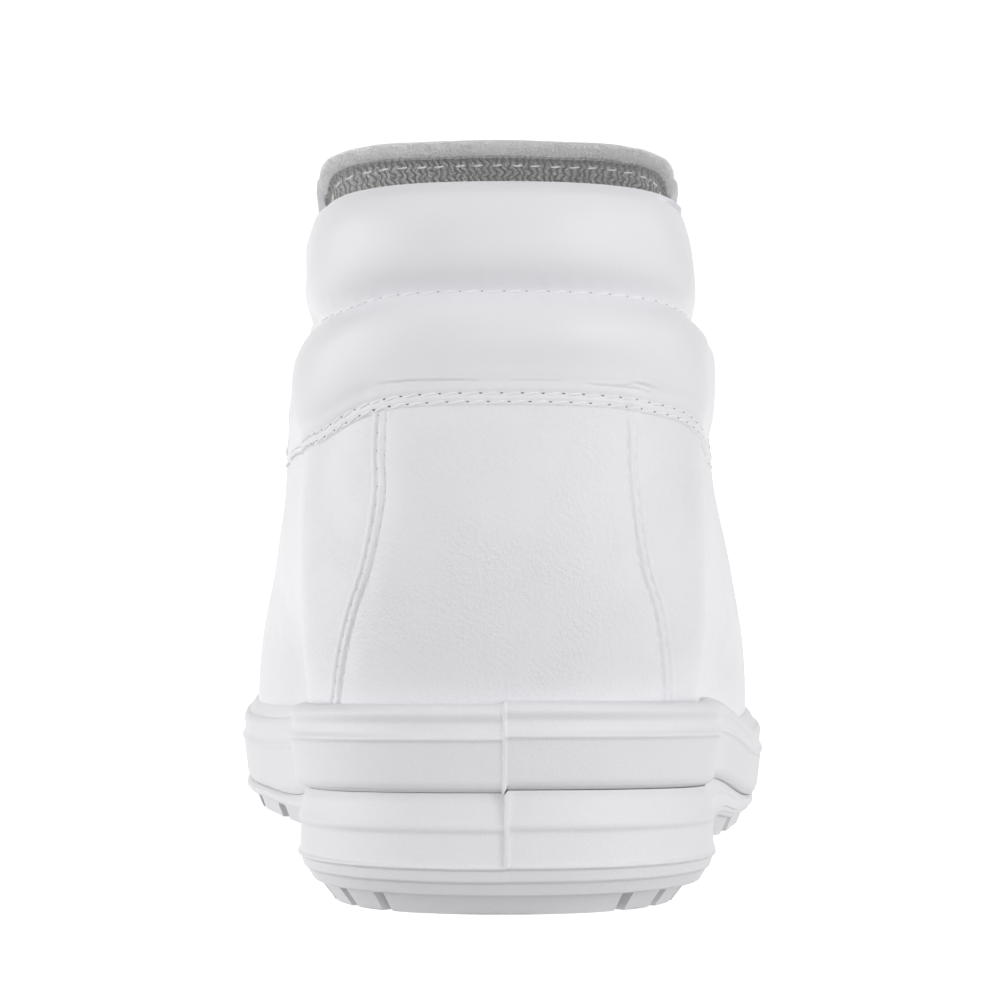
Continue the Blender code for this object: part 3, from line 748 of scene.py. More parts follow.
class MeshMaker:
    """Collects the points and faces of one piece, in millimetres of the last, and makes its mesh."""

    SHARP_ANGLE = math.radians(50)

    def __init__(self) -> None:
        """Starts with nothing."""
        self.points: list[Array] = []
        self.cloth: list[Array] = []
        self.faces: list[tuple[Numbers, Numbers]] = []
        self.count = 0

    def add(self, points: ArrayLike, cloth: ArrayLike | None = None) -> Numbers:
        """Adds points.

        Args:
            points: Points in an array of any shape, with x, y and z last.
            cloth: Each point's place on its cloth, across, down and 0, in millimetres.

        Returns:
            Numbers of the points, in the shape of the array given.
        """
        points = np.asarray(points, float)
        flat = points.reshape(-1, 3)
        self.points.append(flat)
        self.cloth.append(np.zeros_like(flat) if cloth is None else np.asarray(cloth, float).reshape(-1, 3))
        first = self.count
        self.count += len(flat)
        return np.arange(first, self.count).reshape(points.shape[:-1])

    def face(self, corners: Numbers, finish: ArrayLike = 0) -> None:
        """Adds faces.

        Args:
            corners: Point numbers, a row for each face.
            finish: Number of the faces' finish, or one number for each face.
        """
        corners = np.asarray(corners).reshape(-1, np.shape(corners)[-1])
        self.faces.append((corners, np.broadcast_to(finish, len(corners))))

    def grid(self, numbers: Numbers, around: bool = False, over: bool = False) -> None:
        """Adds the quads of a grid of points.

        Args:
            numbers: Point numbers in rows and columns.
            around: Whether the last column joins the first.
            over: Whether the last row joins the first.
        """
        rows = np.concatenate([numbers, numbers[:1]]) if over else numbers
        rows = np.concatenate([rows, rows[:, :1]], axis=1) if around else rows
        self.face(np.stack([rows[:-1, :-1], rows[:-1, 1:], rows[1:, 1:], rows[1:, :-1]], axis=-1))

    def rungs(self, ring: Numbers) -> None:
        """Closes a ring round the shoe with rungs from its medial to its lateral side.

        Args:
            ring: Point numbers round the shoe, from the middle of the heel.
        """
        half = len(ring) // 2
        medial = ring[1:half]
        lateral = ring[:half:-1]
        self.grid(np.stack([medial, lateral]))
        self.face([[ring[0], medial[0], lateral[0]], [ring[half], medial[-1], lateral[-1]]])

    def shell(self, outer: Numbers, inner: Numbers, kept: NDArray[np.bool_], lined: ArrayLike = 0) -> None:
        """Adds a wall between two grids that are closed round the shoe.

        Args:
            outer: Point numbers of the outer face.
            inner: Point numbers of the inner face.
            kept: Cells of the grid that the wall covers.
            lined: Number of the inner face's finish, or one for each cell.
        """
        around = np.roll(np.arange(kept.shape[1]), -1)
        rows, columns = np.nonzero(kept)
        beside = around[columns]
        for grid, finish in ((outer, 0), (inner, np.broadcast_to(lined, kept.shape)[kept])):
            corners = [grid[rows, columns], grid[rows, beside], grid[rows + 1, beside], grid[rows + 1, columns]]
            self.face(np.stack(corners, axis=-1), finish)
        padded = np.pad(kept, ((1, 1), (0, 0)))
        row, column = np.nonzero(padded[:-1] != padded[1:])
        level_edges = ((row, column), (row, around[column]))
        row, column = np.nonzero(kept != np.roll(kept, 1, axis=1))
        upright_edges = ((row, column), (row + 1, column))
        for start, end in (level_edges, upright_edges):
            self.face(np.stack([outer[start], outer[end], inner[end], inner[start]], axis=-1))

    def plate(self, outer: Numbers, inner: Numbers) -> None:
        """Adds a closed plate between two open grids of the same shape.

        Args:
            outer: Point numbers of its outer face.
            inner: Point numbers of its inner face.
        """
        self.grid(outer)
        self.grid(inner)
        for edge in (np.s_[0, :], np.s_[-1, :], np.s_[:, 0], np.s_[:, -1]):
            self.grid(np.stack([outer[edge], inner[edge]]))

    def copies(self, pattern: Array, quads: Numbers, triangles: Numbers, places: Array, axes: Array) -> None:
        """Adds copies of a small closed form.

        Args:
            pattern: Points of the form in its own axes.
            quads: Its four-sided faces.
            triangles: Its three-sided faces.
            places: Where each copy goes.
            axes: Three directions for each copy.
        """
        points = places[:, None] + np.einsum("vk,nkc->nvc", pattern, axes)
        numbers = self.add(points)
        for corners in (quads, triangles):
            self.face(numbers[:, corners].reshape(-1, corners.shape[1]))

    def make(self, name: str, finishes: Sequence[Finish], shift: Array) -> bpy.types.Object:
        """Makes the piece.

        Args:
            name: The piece's name.
            finishes: Its finishes, by their numbers.
            shift: Shift from the last's place to the frame's.

        Returns:
            The object, in the scene.
        """
        mesh = bpy.data.meshes.new(name)
        points = (np.concatenate(self.points) + shift) * MM
        sizes = np.concatenate([np.full(len(corners), corners.shape[1]) for corners, _ in self.faces])
        mesh.vertices.add(len(points))
        mesh.vertices.foreach_set("co", points.astype(np.float32).ravel())
        mesh.loops.add(int(sizes.sum()))
        mesh.loops.foreach_set("vertex_index", np.concatenate([c.ravel() for c, _ in self.faces]).astype(np.int32))
        mesh.polygons.add(len(sizes))
        mesh.polygons.foreach_set("loop_start", np.concatenate([[0], np.cumsum(sizes)[:-1]]).astype(np.int32))
        mesh.polygons.foreach_set("material_index", np.concatenate([f for _, f in self.faces]).astype(np.int32))
        mesh.attributes.new("cloth", "FLOAT_VECTOR", "POINT")
        mesh.attributes["cloth"].data.foreach_set("vector", np.concatenate(self.cloth).astype(np.float32).ravel())
        mesh.update(calc_edges=True)
        work = bmesh.new()
        work.from_mesh(mesh)
        loose = [vertex for vertex in work.verts if not vertex.link_faces]
        bmesh.ops.delete(work, geom=loose, context="VERTS")
        bmesh.ops.recalc_face_normals(work, faces=work.faces)
        work.to_mesh(mesh)
        work.free()
        mesh.shade_smooth()
        mesh.set_sharp_from_angle(angle=self.SHARP_ANGLE)
        for finish in finishes:
            mesh.materials.append(finish.material())
        piece = bpy.data.objects.new(name, mesh)
        bpy.context.scene.collection.objects.link(piece)
        return piece


@dataclass
class SubAssembly:
    """A group of pieces that belong together, built on the last."""

    last: Last

    def put_on(
        self, maker: MeshMaker, name: str, slot: Slot, finishes: Sequence[Finish], stands_for: Sequence[str] = ()
    ) -> bpy.types.Object:
        """Makes a piece and puts it on the shoe.

        Args:
            maker: The piece's points and faces.
            name: Its name.
            slot: The record's material slot; not used.
            finishes: Its finishes.
            stands_for: Solids of the frame that it replaces.

        Returns:
            The piece.
        """
        piece = maker.make(name, finishes, self.last.shift())
        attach(piece, BODY)
        if stands_for:
            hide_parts(*stands_for)
        LOG.info("%s: %d faces", name, len(piece.data.polygons))
        return piece


@dataclass(frozen=True)
class SideStep:
    """A step or rib of the sole's side.

    It has its share of the height between two lines, and how far it stands in from the sole's plan
    at the heel and at the forefoot, in millimetres.
    """

    share: float
    heel_inset: float
    fore_inset: float


@dataclass
class Sole(SubAssembly):
    """What the two blocks of the sole have in common: plan, lines, tread and the mould's parting."""

    stations: tuple[float, ...] = (0.0, 0.20, 0.40, 0.62, 0.80, 1.0)
    heel_fade: Pair = (0.20, 0.60)
    drop_share: float = 0.54
    drop_reach: float = 0.07
    toe_spring: float = 11.0
    spring_from: float = 0.74
    spring_run: float = 0.26
    spring_power: float = 1.8
    arch_rise: float = 2.0
    arch_start: Pair = (0.30, 0.36)
    arch_end: Pair = (0.43, 0.50)
    lug_height: float = 3.5
    joint: float = 0.05
    columns_between: int = 8
    lean: Pair = (0.0, 0.0)
    edge_radius: float = 0.4
    step_spacing: float = 0.45
    rib_proud: float = 0.4
    rib_face: float = 1.4
    rib_top: float = 0.18
    rib_foot: float = 0.45
    rib_columns: tuple[float, ...] = (0.09, 0.18, 0.24, 0.31, 0.38, 0.45, 0.7, 1.1)
    half_drop: float = 0.5
    half_drop_reach: Pair = (8.0, 70.0)

    def places(self) -> Array:
        """Spaces out the points of a ring.

        Returns:
            Places round the sole, close together at the parting rib.
        """
        sample = np.linspace(0.0, 1.0, 400)
        near = np.interp(self.rib_columns, -self.outline(sample)[:, 0], sample)
        side = np.arange(1, self.last.side_columns * self.columns_between) / self.columns_between
        half = np.concatenate([near, side[side > near[-1] + 0.03]])
        return np.concatenate([[0.0], half, [self.last.side_columns], self.last.ring_columns - half[::-1]])

    def outline(self, places: Array) -> Array:
        """The sole's full outline in plan at places round it."""
        return self.last.contour_points(SOLE_PLAN, places)

    def plan(
        self, places: Array, heel_inset: float, fore_inset: float, lean: Pair | None = None
    ) -> tuple[Array, Array]:
        """The sole's outline in plan, set in, with its lean to the lateral side.

        Args:
            places: Places round it.
            heel_inset: How far it is set in at the heel.
            fore_inset: How far it is set in at the forefoot.
            lean: How far heel and forefoot lean, the block's own lean if left out.

        Returns:
            The points, at height 0, and their shares of the shoe's length.
        """
        edge = self.outline(places)
        share = edge[:, 1] / self.last.length
        fade = ease(*self.heel_fade, share)
        nudge = self.last.nudge
        along = self.outline(places + nudge)
        along -= self.outline(places - nudge)
        inward = unit(np.stack([along[:, 1], -along[:, 0], np.zeros(len(edge))], axis=1))
        points = edge + inward * blend(heel_inset, fore_inset, fade)[:, None]
        points[:, 0] += blend(*(lean or self.lean), fade)
        return points, share

    def line(self, line: SoleLine, ring: Array, share: Array) -> Array:
        """Works out the height of a line of the sole along a ring.

        Args:
            line: The line.
            ring: Points of the ring.
            share: Their shares of the shoe's length.

        Returns:
            A height for each point.
        """
        height = through(self.stations, line.heights, np.clip(share, 0.0, 1.0))
        medial_drop, lateral_drop = line.side_drops
        drop = np.where(ring[:, 0] > 0, lateral_drop, medial_drop)
        return height - drop * bell(share - self.drop_share, self.drop_reach)

    def tread(self, y: ArrayLike) -> Array:
        """Works out the height of the lugs' lower faces.

        Args:
            y: Places along the shoe.

        Returns:
            The heights: 0 at heel and forefoot, raised at the arch and the toe.
        """
        share = np.asarray(y, float) / self.last.length
        toe = np.clip((share - self.spring_from) / self.spring_run, 0.0, None) ** self.spring_power
        arch = ease(*self.arch_start, share) * (1 - ease(*self.arch_end, share))
        return self.toe_spring * toe + self.arch_rise * arch

    def rib(self, places: Array) -> Array:
        """Works out the form of the mould's parting rib, down the middle of the heel.

        Args:
            places: Places round the sole.

        Returns:
            1 on the rib's top, 0 beside it.
        """
        edge = self.outline(places)
        form = 1 - ease(self.rib_top, self.rib_foot, np.abs(edge[:, 0]))
        return np.where(edge[:, 1] < self.last.half_heel, form, 0.0)

    def rib_height(self, inset: float) -> float:
        """How far the rib stands out where the side is set in: it runs straight across the grooves."""
        return self.rib_proud + max(0.0, inset - self.rib_face)

    def mould_drop(self, places: Array) -> Array:
        """Works out how the two halves of the mould are set against each other.

        Args:
            places: Places round the sole.

        Returns:
            How far the lines of the medial half lie below those of the lateral half.
        """
        edge = self.outline(places)
        medial = ease(self.rib_top, -self.rib_top, edge[:, 0])
        return self.half_drop * medial * (1 - ease(*self.half_drop_reach, edge[:, 1]))

    def profile(self, steps: Sequence[SideStep], height: float) -> Array:
        """Fine section of the sole's side.

        Args:
            steps: Its steps and ribs.
            height: Height between its two lines at the heel.

        Returns:
            Rows of share, heel inset and fore inset, with the corners rounded off.
        """
        corners = np.array([(step.share * height, step.heel_inset, step.fore_inset) for step in steps])
        rows = rounded_path(corners, self.edge_radius, self.step_spacing)
        rows[:, 0] /= height
        return rows

    def block(self, rings: Array) -> MeshMaker:
        """Closes a block of the sole.

        Args:
            rings: Its rings of points, from the foot up.

        Returns:
            Its points and faces.
        """
        maker = MeshMaker()
        numbers = maker.add(rings)
        maker.grid(numbers, around=True)
        maker.rungs(numbers[0])
        maker.rungs(numbers[-1])
        return maker


@dataclass
class Midsole(Sole):
    """Upper block of the sole: a cup for the foot of the upper, with a beaded and ribbed side."""

    steps: tuple[SideStep, ...] = table(
        SideStep,
        (0.00, 4.6, 3.2), (0.00, 3.4, 2.0), (0.05, 1.9, 1.5), (0.11, 1.4, 1.1), (0.58, 0.4, 0.3),
        (0.615, 0.0, 0.0), (0.645, 0.1, 0.1), (0.69, 0.7, 0.5), (0.80, 0.9, 0.6), (0.865, 0.4, 0.4),
        (0.91, 0.25, 0.4), (0.955, 0.65, 0.7), (0.985, 1.2, 1.1), (1.00, 1.9, 1.6),
    )
    lip_levels: Pair = (0.9, 1.05)
    lip_rise: Pair = (-0.5, 2.6)
    lip_round: float = 0.35
    lip_steps: tuple[float, ...] = (0.25, 0.5, 0.75)
    wall_level: float = 0.45
    lean: Pair = (0.2, 0.0)

    def build(self) -> None:
        """Makes the midsole."""
        places = self.places()
        drop = self.mould_drop(places)
        rib = self.rib(places)
        height = SoleLine.WALL_TOP.heights[0] - SoleLine.GROOVE.heights[0]
        rings = []
        for share, heel_inset, fore_inset in self.profile(self.steps, height):
            ring, along = self.plan(places, heel_inset, fore_inset)
            groove = self.line(SoleLine.GROOVE, ring, along)
            ring[:, 2] = groove + share * (self.line(SoleLine.WALL_TOP, ring, along) - groove) - drop
            ring[:, 1] -= rib * self.rib_height(heel_inset)
            rings.append(ring)
        cup = self.cup(places, rings[-1])
        lip = cup[0]
        for share in self.lip_steps:
            rim = blend(rings[-1], lip, share)
            rim[:, 2] += self.lip_round * math.sin(math.pi * share)
            cup = np.insert(cup, -3, rim, axis=0)
        maker = self.block(np.concatenate([np.stack(rings), cup]))
        self.put_on(maker, "midsole_body", Slot.RUBBER, [SOLE_RUBBER], ["midsole"])

    def cup(self, places: Array, edge: Array) -> Array:
        """Rings of the cup that takes the foot of the upper.

        Args:
            places: Places round it.
            edge: Ring along the outer edge of its rim.

        Returns:
            Its rings, from the rim, which falls inwards at the heel and rises at the forefoot.
        """
        fade = ease(*self.heel_fade, edge[:, 1] / self.last.length)
        levels = np.outer([0.0, self.wall_level, Level.MARGIN], np.ones_like(fade))
        levels[0] = blend(*self.lip_levels, fade)
        cup = self.last.surface(places, levels).out(self.joint)
        cup[0, :, 2] = edge[:, 2] + blend(*self.lip_rise, fade)
        cup[-1, :, 2] -= self.last.gap
        return cup


@dataclass(frozen=True)
class LugZone:
    """A row of lugs from one place or share to another, each of which takes a share of its pitch."""

    first: float
    last: float
    count: int
    lug_share: float


@dataclass
class Outsole(Sole):
    """Lower block of the sole, with lugs along its edge and bars across its middle."""

    steps: tuple[SideStep, ...] = table(
        SideStep,
        (0.00, 5.6, 3.6), (0.00, 4.1, 2.1), (0.125, 3.0, 1.95), (0.145, 2.4, 1.85), (0.255, 1.95, 1.75),
        (0.272, 1.45, 1.5), (0.292, 1.4, 1.5), (0.315, 1.8, 1.55), (0.61, 2.0, 1.65), (0.65, 1.6, 1.6),
        (0.69, 1.55, 1.6), (0.76, 1.95, 1.75), (0.92, 2.5, 2.1), (1.00, 3.2, 2.5),
    )
    lean: Pair = (0.55, -0.5)
    rib_lowest: Pair = (0.26, 0.29)
    edge_zones: tuple[LugZone, ...] = (LugZone(2.76, 8.9, 5, 0.76), LugZone(14.9, 23.6, 7, 0.76))
    bar_zones: tuple[LugZone, ...] = (LugZone(0.075, 0.265, 4, 0.62), LugZone(0.520, 0.870, 8, 0.62))
    tread_lean: Pair = (0.0, -0.5)
    lug_inset: float = 0.7
    heel_draft: float = 3.2
    fore_draft: float = 1.6
    lug_depth: float = 9.0
    lug_sink: float = 1.0
    lug_chamfer: float = 0.4
    rear_lug_half_width: float = 23.3
    toe_lug_start: float = 24.0
    bar_end_clearance: float = 4.0
    bar_slant: float = 5.0
    channel_half_width: float = 2.2

    def build(self) -> None:
        """Makes the outsole, its lugs joined to it."""
        places = self.places()
        rib = self.rib(places)
        drop = self.mould_drop(places)
        height = SoleLine.GROOVE.heights[0] - self.lug_height
        rings = []
        for share, heel_inset, fore_inset in self.profile(self.steps, height):
            ring, along = self.plan(places, heel_inset, fore_inset)
            root = self.tread(along * self.last.length) + self.lug_height
            ring[:, 2] = root + share * (self.line(SoleLine.GROOVE, ring, along) - self.joint - root - drop)
            ring[:, 1] -= rib * self.rib_height(heel_inset) * ease(*self.rib_lowest, share)
            rings.append(ring)
        rings[-1][:, 2] += self.joint * rib
        body = self.put_on(self.block(np.stack(rings)), "outsole_body", Slot.RUBBER, [SOLE_RUBBER], ["outsole"])
        self.join(body, self.lugs().make("tread_lugs", [SOLE_RUBBER], self.last.shift()))

    def join(self, body: bpy.types.Object, lugs: bpy.types.Object) -> None:
        """Makes body and lugs one closed mesh, and takes the separate lugs away.

        Args:
            body: The outsole's block.
            lugs: The lugs, which reach into it.
        """
        union = body.modifiers.new("lugs", "BOOLEAN")
        union.operation = "UNION"
        union.solver = "MANIFOLD"
        union.object = lugs
        whole = body.evaluated_get(bpy.context.evaluated_depsgraph_get())
        body.data = bpy.data.meshes.new_from_object(whole)
        body.modifiers.clear()
        body.data.set_sharp_from_angle(angle=MeshMaker.SHARP_ANGLE)
        bpy.data.objects.remove(lugs)

    def lugs(self) -> MeshMaker:
        """Sets out all lugs of the tread.

        Returns:
            Their points and faces.
        """
        maker = MeshMaker()
        columns = np.arange(4.0)
        across = self.outline(-columns)[:, 0]
        rear = float(np.interp(self.rear_lug_half_width, across, columns))
        self.edge_lug(maker, -rear, rear)
        self.edge_lug(maker, self.toe_lug_start, self.last.ring_columns - self.toe_lug_start)
        for side in Side:
            for zone in self.edge_zones:
                pitch = (zone.last - zone.first) / zone.count
                for start in zone.first + pitch * np.arange(zone.count):
                    self.edge_lug(maker, side.value * start, side.value * (start + pitch * zone.lug_share))
            for zone in self.bar_zones:
                pitch = (zone.last - zone.first) * self.last.length / zone.count
                for y in zone.first * self.last.length + pitch * np.arange(zone.count):
                    self.cross_bar(maker, y, pitch * zone.lug_share, side)
        return maker

    def tread_edge(self, places: Array, depth: float, heel_draft: float = 0.0, fore_draft: float = 0.0) -> Array:
        """Points at the edge of the tread.

        Args:
            places: Places round it.
            depth: How far in from the edge.
            heel_draft: How much further in at the heel.
            fore_draft: How much further in at the forefoot.

        Returns:
            The points, at height 0.
        """
        foot = self.steps[1]
        insets = (foot.heel_inset + depth + heel_draft, foot.fore_inset + depth + fore_draft)
        return self.plan(places, *insets, self.tread_lean)[0]

    def edge_lug(self, maker: MeshMaker, first: float, last: float) -> None:
        """Adds a lug along the edge of the tread.

        Args:
            maker: The lugs' points and faces.
            first: Place where it starts.
            last: Place where it ends.
        """
        places = np.linspace(first, last, 13)
        inner = self.tread_edge(places, self.lug_depth)[::-1]
        root = np.concatenate([self.tread_edge(places, self.lug_inset), inner])
        edge = self.tread_edge(places, self.lug_inset, self.heel_draft, self.fore_draft)
        self.lug_block(maker, root, np.concatenate([edge, inner]))

    def cross_bar(self, maker: MeshMaker, y: float, depth: float, side: Side) -> None:
        """Adds a bar from the middle channel towards the edge lugs, slanting forward as it runs out.

        Args:
            maker: The lugs' points and faces.
            y: Where it starts along the shoe.
            depth: Its width along the shoe.
            side: Side of the shoe that it runs to.
        """
        row = side.value * np.linspace(1.0, self.last.side_columns - 1.0, 100)
        edge = self.tread_edge(row, self.lug_depth)
        outer_y = np.array([y, y + depth]) + self.bar_slant
        outer_x = np.interp(outer_y, edge[:, 1], edge[:, 0]) + side.value * self.bar_end_clearance
        inner_x = self.last.centre_line(y) - side.value * self.channel_half_width
        near, far = zip(outer_x, outer_y, (0.0, 0.0))
        corners = np.array([(inner_x, y, 0.0), near, far, (inner_x, y + depth, 0.0)])
        shares = np.linspace(0.0, 1.0, 7)[:-1, None]
        sides = [start + (end - start) * shares for start, end in zip(corners, np.roll(corners, -1, axis=0))]
        self.lug_block(maker, np.concatenate(sides), np.concatenate(sides))

    def lug_block(self, maker: MeshMaker, root: Array, foot: Array) -> None:
        """Adds one lug with a chamfered lower edge.

        Args:
            maker: The lugs' points and faces.
            root: Its plan where it meets the outsole.
            foot: Its plan at the lower face.
        """
        middle = foot.mean(axis=0)
        inset = np.linalg.norm(foot - middle, axis=1, keepdims=True)
        face = middle + (foot - middle) * (1 - self.lug_chamfer / inset)
        face[:, 2] = self.tread(face[:, 1])
        foot[:, 2] = self.tread(foot[:, 1]) + self.lug_chamfer
        root[:, 2] = self.tread(root[:, 1]) + self.lug_height + self.lug_sink
        rings = maker.add(np.stack([face, foot, root]))
        maker.grid(rings, around=True)
        maker.face(rings[:1])
        maker.face(rings[-1:])


@dataclass
class Insole(SubAssembly):
    """Footbed on the floor of the midsole, dished under the heel and raised along its edge."""

    thickness: float = 4.0
    edge_drop: float = 0.8
    edge_rise: float = 0.9
    heel_dish: float = 0.8
    dish: Pair = (0.15, 0.14)
    middle_drop: float = 0.3
    side_level: float = 0.35
    top_level: float = 0.45
    places_between: int = 4
    across: int = 24

    def build(self) -> None:
        """Makes the footbed."""
        places = np.arange(self.last.ring_columns * self.places_between) / self.places_between
        wall = self.last.wall + self.last.gap
        floor = self.last.face(places, Level.MARGIN)[:, 2]
        side = self.last.surface(places, np.array([Level.MARGIN, self.side_level])[:, None]).out(-wall)
        side[0, :, 2] = floor
        side[1, :, 2] = floor + self.thickness - self.edge_drop
        top = self.last.surface(places, self.top_level).out(-wall - self.edge_drop)
        top[:, 2] = floor + self.thickness
        maker = MeshMaker()
        rings = maker.add(np.concatenate([side, top[None]]))
        maker.grid(rings, around=True)
        maker.rungs(rings[0])
        half = len(places) // 2
        medial, lateral = top[1:half], top[:half:-1]
        shares = np.linspace(0.0, 1.0, self.across + 1)[1:-1, None]
        bed = blend(medial[:, None], lateral[:, None], shares)
        hollow = np.sin(math.pi * shares[:, 0]) ** 0.5
        middle, reach = (share * self.last.length for share in self.dish)
        drop = self.middle_drop + self.heel_dish * bell(bed[..., 1] - middle, reach)
        bed[..., 2] += self.edge_rise * (1 - hollow) - drop * hollow
        numbers = np.concatenate([rings[2, 1:half, None], maker.add(bed), rings[2, :half:-1, None]], axis=1)
        maker.grid(numbers)
        for tip, row in ((rings[2, 0], numbers[0]), (rings[2, half], numbers[-1])):
            maker.face(np.stack([np.full(self.across, tip), row[:-1], row[1:]], axis=-1))
        self.put_on(maker, "insole_pad", Slot.TEXTILE, [FOOTBED_CLOTH], ["insole"])


@dataclass(frozen=True)
class FlexCrease:
    """A soft trough across the vamp with a ridge on each side of it.

    It crosses the vamp's middle at y, runs forward by slant and bow as it goes out, and fades at its
    reach on each side.
    """

    y: float
    slant: float
    bow: float
    width: float
    depth: float
    reach: float

    def relief(self, points: Array) -> Array:
        """Works out the form of the crease.

        Args:
            points: Points of the upper.

        Returns:
            Height of the crease at each of them.
        """
        x = points[..., 0]
        off = points[..., 1] - self.y - self.slant * x + self.bow * x * x
        form = 0.5 * bell(off, 2.2 * self.width) - bell(off, self.width)
        return self.depth * form * (1 - ease(0.55 * self.reach, self.reach, np.abs(x)))


@dataclass
class Upper(SubAssembly):
    """Leather skin of quarters, vamp and tongue with its knitted lining."""

    columns_between: int = 6
    rows_below: int = 60
    rows_above: int = 48
    skin: float = 1.3
    notch_round: float = 0.32
    corner: tuple[Pair, ...] = (
        (0.0, 7.3), (0.5, 5.4), (1.0, 4.6), (2.0, 3.65), (3.0, 3.15), (4.8, 2.37), (6.7, 1.68),
        (8.7, 1.35), (11.5, 0.8), (15.0, 0.5), (20.0, 0.4), (26.0, 0.2), (34.0, 0.0), (40.0, 0.0),
    )
    rim_skin: tuple[float, ...] = (1.15, 0.85, 0.45)
    rim_bevel: float = 0.35
    edge_round: float = 0.25
    fleece_band: float = 3.0
    fibres: int = 5000
    fibre_seed: int = 41
    fibre_drop: Pair = (0.15, 3.5)
    fibre_lean: float = 0.7
    fibre_length: Pair = (0.35, 1.0)
    fibre_radius: float = 0.055
    fibre_root: float = 0.1
    lining_margin: float = 0.5
    lining_gap: float = 0.05
    lining_stitch_drop: float = 1.9
    flex_creases: tuple[FlexCrease, ...] = table(
        FlexCrease,
        (178.0, 0.10, 0.006, 3.4, 0.50, 38.0), (192.0, -0.04, 0.005, 3.0, 0.60, 42.0),
        (207.0, 0.07, 0.004, 3.2, 0.45, 36.0),
    )

    def places(self) -> Array:
        """Spaces out the columns of the grid.

        Returns:
            Places round the last, close together at the tongue's corners.
        """
        step = 1 / self.columns_between
        end = self.last.gore_end
        corner = end + 2 * np.linspace(0.0, 1.0, 20)[:-1] ** 1.8
        vamp = np.arange(end + 2, self.last.side_columns, step)
        medial = np.concatenate([np.arange(0, end, step), corner, vamp])
        return np.concatenate([medial, [self.last.side_columns], self.last.ring_columns - medial[:0:-1]])

    def columns(self) -> Array:
        """Columns of those places, counted from the heel on either side."""
        places = self.places()
        return np.minimum(places, self.last.ring_columns - places)

    def rim(self) -> Array:
        """Works out the run of the top edge.

        Returns:
            Level of the edge at each place, with the tongue's corners rounded off.
        """
        columns = self.columns()
        topline = CONTOURS[Level.TOPLINE]
        corner = self.last.contour_points(topline, self.last.gore_end)[0]
        run_in = np.clip(self.last.contour_points(topline, columns)[:, 0] - corner, 0.0, None)
        stations, drops = np.array(self.corner).T
        drop = through(np.sqrt(stations), drops, np.sqrt(run_in))
        tongue = Level.TOPLINE - drop / self.level_height()
        return np.where(columns >= self.last.gore_end, tongue, Level.TOPLINE)

    def level_height(self) -> Array:
        """Measures the levels at the top.

        Returns:
            Millimetres from level to level just under the topline, at each place.
        """
        step = 0.3
        top = self.last.face(self.places(), Level.TOPLINE)
        return np.linalg.norm(top - self.last.face(self.places(), Level.TOPLINE - step), axis=1) / step

    def levels(self, rim: Array) -> Array:
        """Levels of the grid.

        Args:
            rim: Level of the top edge at each place.

        Returns:
            Levels by row and place, with the row at the notches' floor rising into their corners.
        """
        start, end = self.last.gore_start, self.last.gore_end
        half = (end - start) / 2
        off = np.abs(self.columns() - (start + end) / 2)
        inside = np.clip(off / half, 0.0, 1.0) ** 4
        floor = Level.COLLAR_SEAM + self.notch_round * inside * (1 - ease(half, half + 2.5, off))
        below = np.linspace(0.0, 1.0, self.rows_below + 1)[:, None] * floor
        above = floor + np.linspace(0.0, 1.0, self.rows_above + 1)[1:, None] * (rim - floor)
        return np.concatenate([below, above])

    def kept(self, margin: float = 0.0) -> NDArray[np.bool_]:
        """Cuts the notches for the gores.

        Args:
            margin: Columns cut away beside the tongue as well.

        Returns:
            Cells of the grid that are not cut out.
        """
        columns = self.columns()
        middles = (columns + np.roll(columns, -1)) / 2
        cut = (middles > self.last.gore_start) & (middles < self.last.gore_end + margin)
        rows = np.arange(self.rows_below + self.rows_above)[:, None]
        return ~((rows >= self.rows_below) & cut)

    def build(self) -> None:
        """Makes the skin, the lining and the fuzz of the tongue's back."""
        self.build_skin()
        self.build_lining()
        self.build_fuzz()

    def build_skin(self) -> None:
        """Makes the leather skin, with the tongue's cut edge and fleecy back."""
        levels = self.levels(self.rim())
        surface = self.last.surface(self.places(), levels)
        relief = sum(crease.relief(surface.points) for crease in self.flex_creases)
        relief[-1] -= self.edge_round
        skin = np.full(len(levels), self.skin)
        skin[-len(self.rim_skin):] = self.rim_skin
        inner = surface.out(-np.broadcast_to(skin[:, None], levels.shape))
        inner[-1] -= surface.up[-1] * self.rim_bevel
        fleecy = (self.columns() > self.last.gore_end + self.lining_margin).astype(int)
        maker = MeshMaker()
        maker.shell(maker.add(surface.out(relief)), maker.add(inner), self.kept(), fleecy)
        self.put_on(maker, "upper_skin", Slot.LEATHER, [GRAINED_LEATHER, FLEECE_BACK], ["upper"])

    def lining_rim(self) -> Array:
        """Level of the lining's top edge at each place, below the fleecy band of the tongue."""
        return self.rim() - self.fleece_band / self.level_height()

    def build_lining(self) -> None:
        """Makes the knitted lining inside the skin."""
        surface = self.last.surface(self.places(), self.levels(self.lining_rim()))
        inner = surface.out(-self.last.wall)
        ring = np.concatenate([inner[-1], inner[-1, :1]])
        across = run_of(ring)[:-1]
        steps = np.linalg.norm(np.diff(inner, axis=0), axis=-1)
        down = np.concatenate([np.cumsum(steps[::-1], axis=0)[::-1], np.zeros((1, len(across)))])
        cloth = np.stack([np.broadcast_to(across, down.shape), down, np.zeros_like(down)], axis=-1)
        maker = MeshMaker()
        outer = maker.add(surface.out(-self.skin - self.lining_gap), cloth)
        maker.shell(outer, maker.add(inner, cloth), self.kept(self.lining_margin))
        self.put_on(maker, "upper_lining", Slot.TEXTILE, [KNIT_LINING])

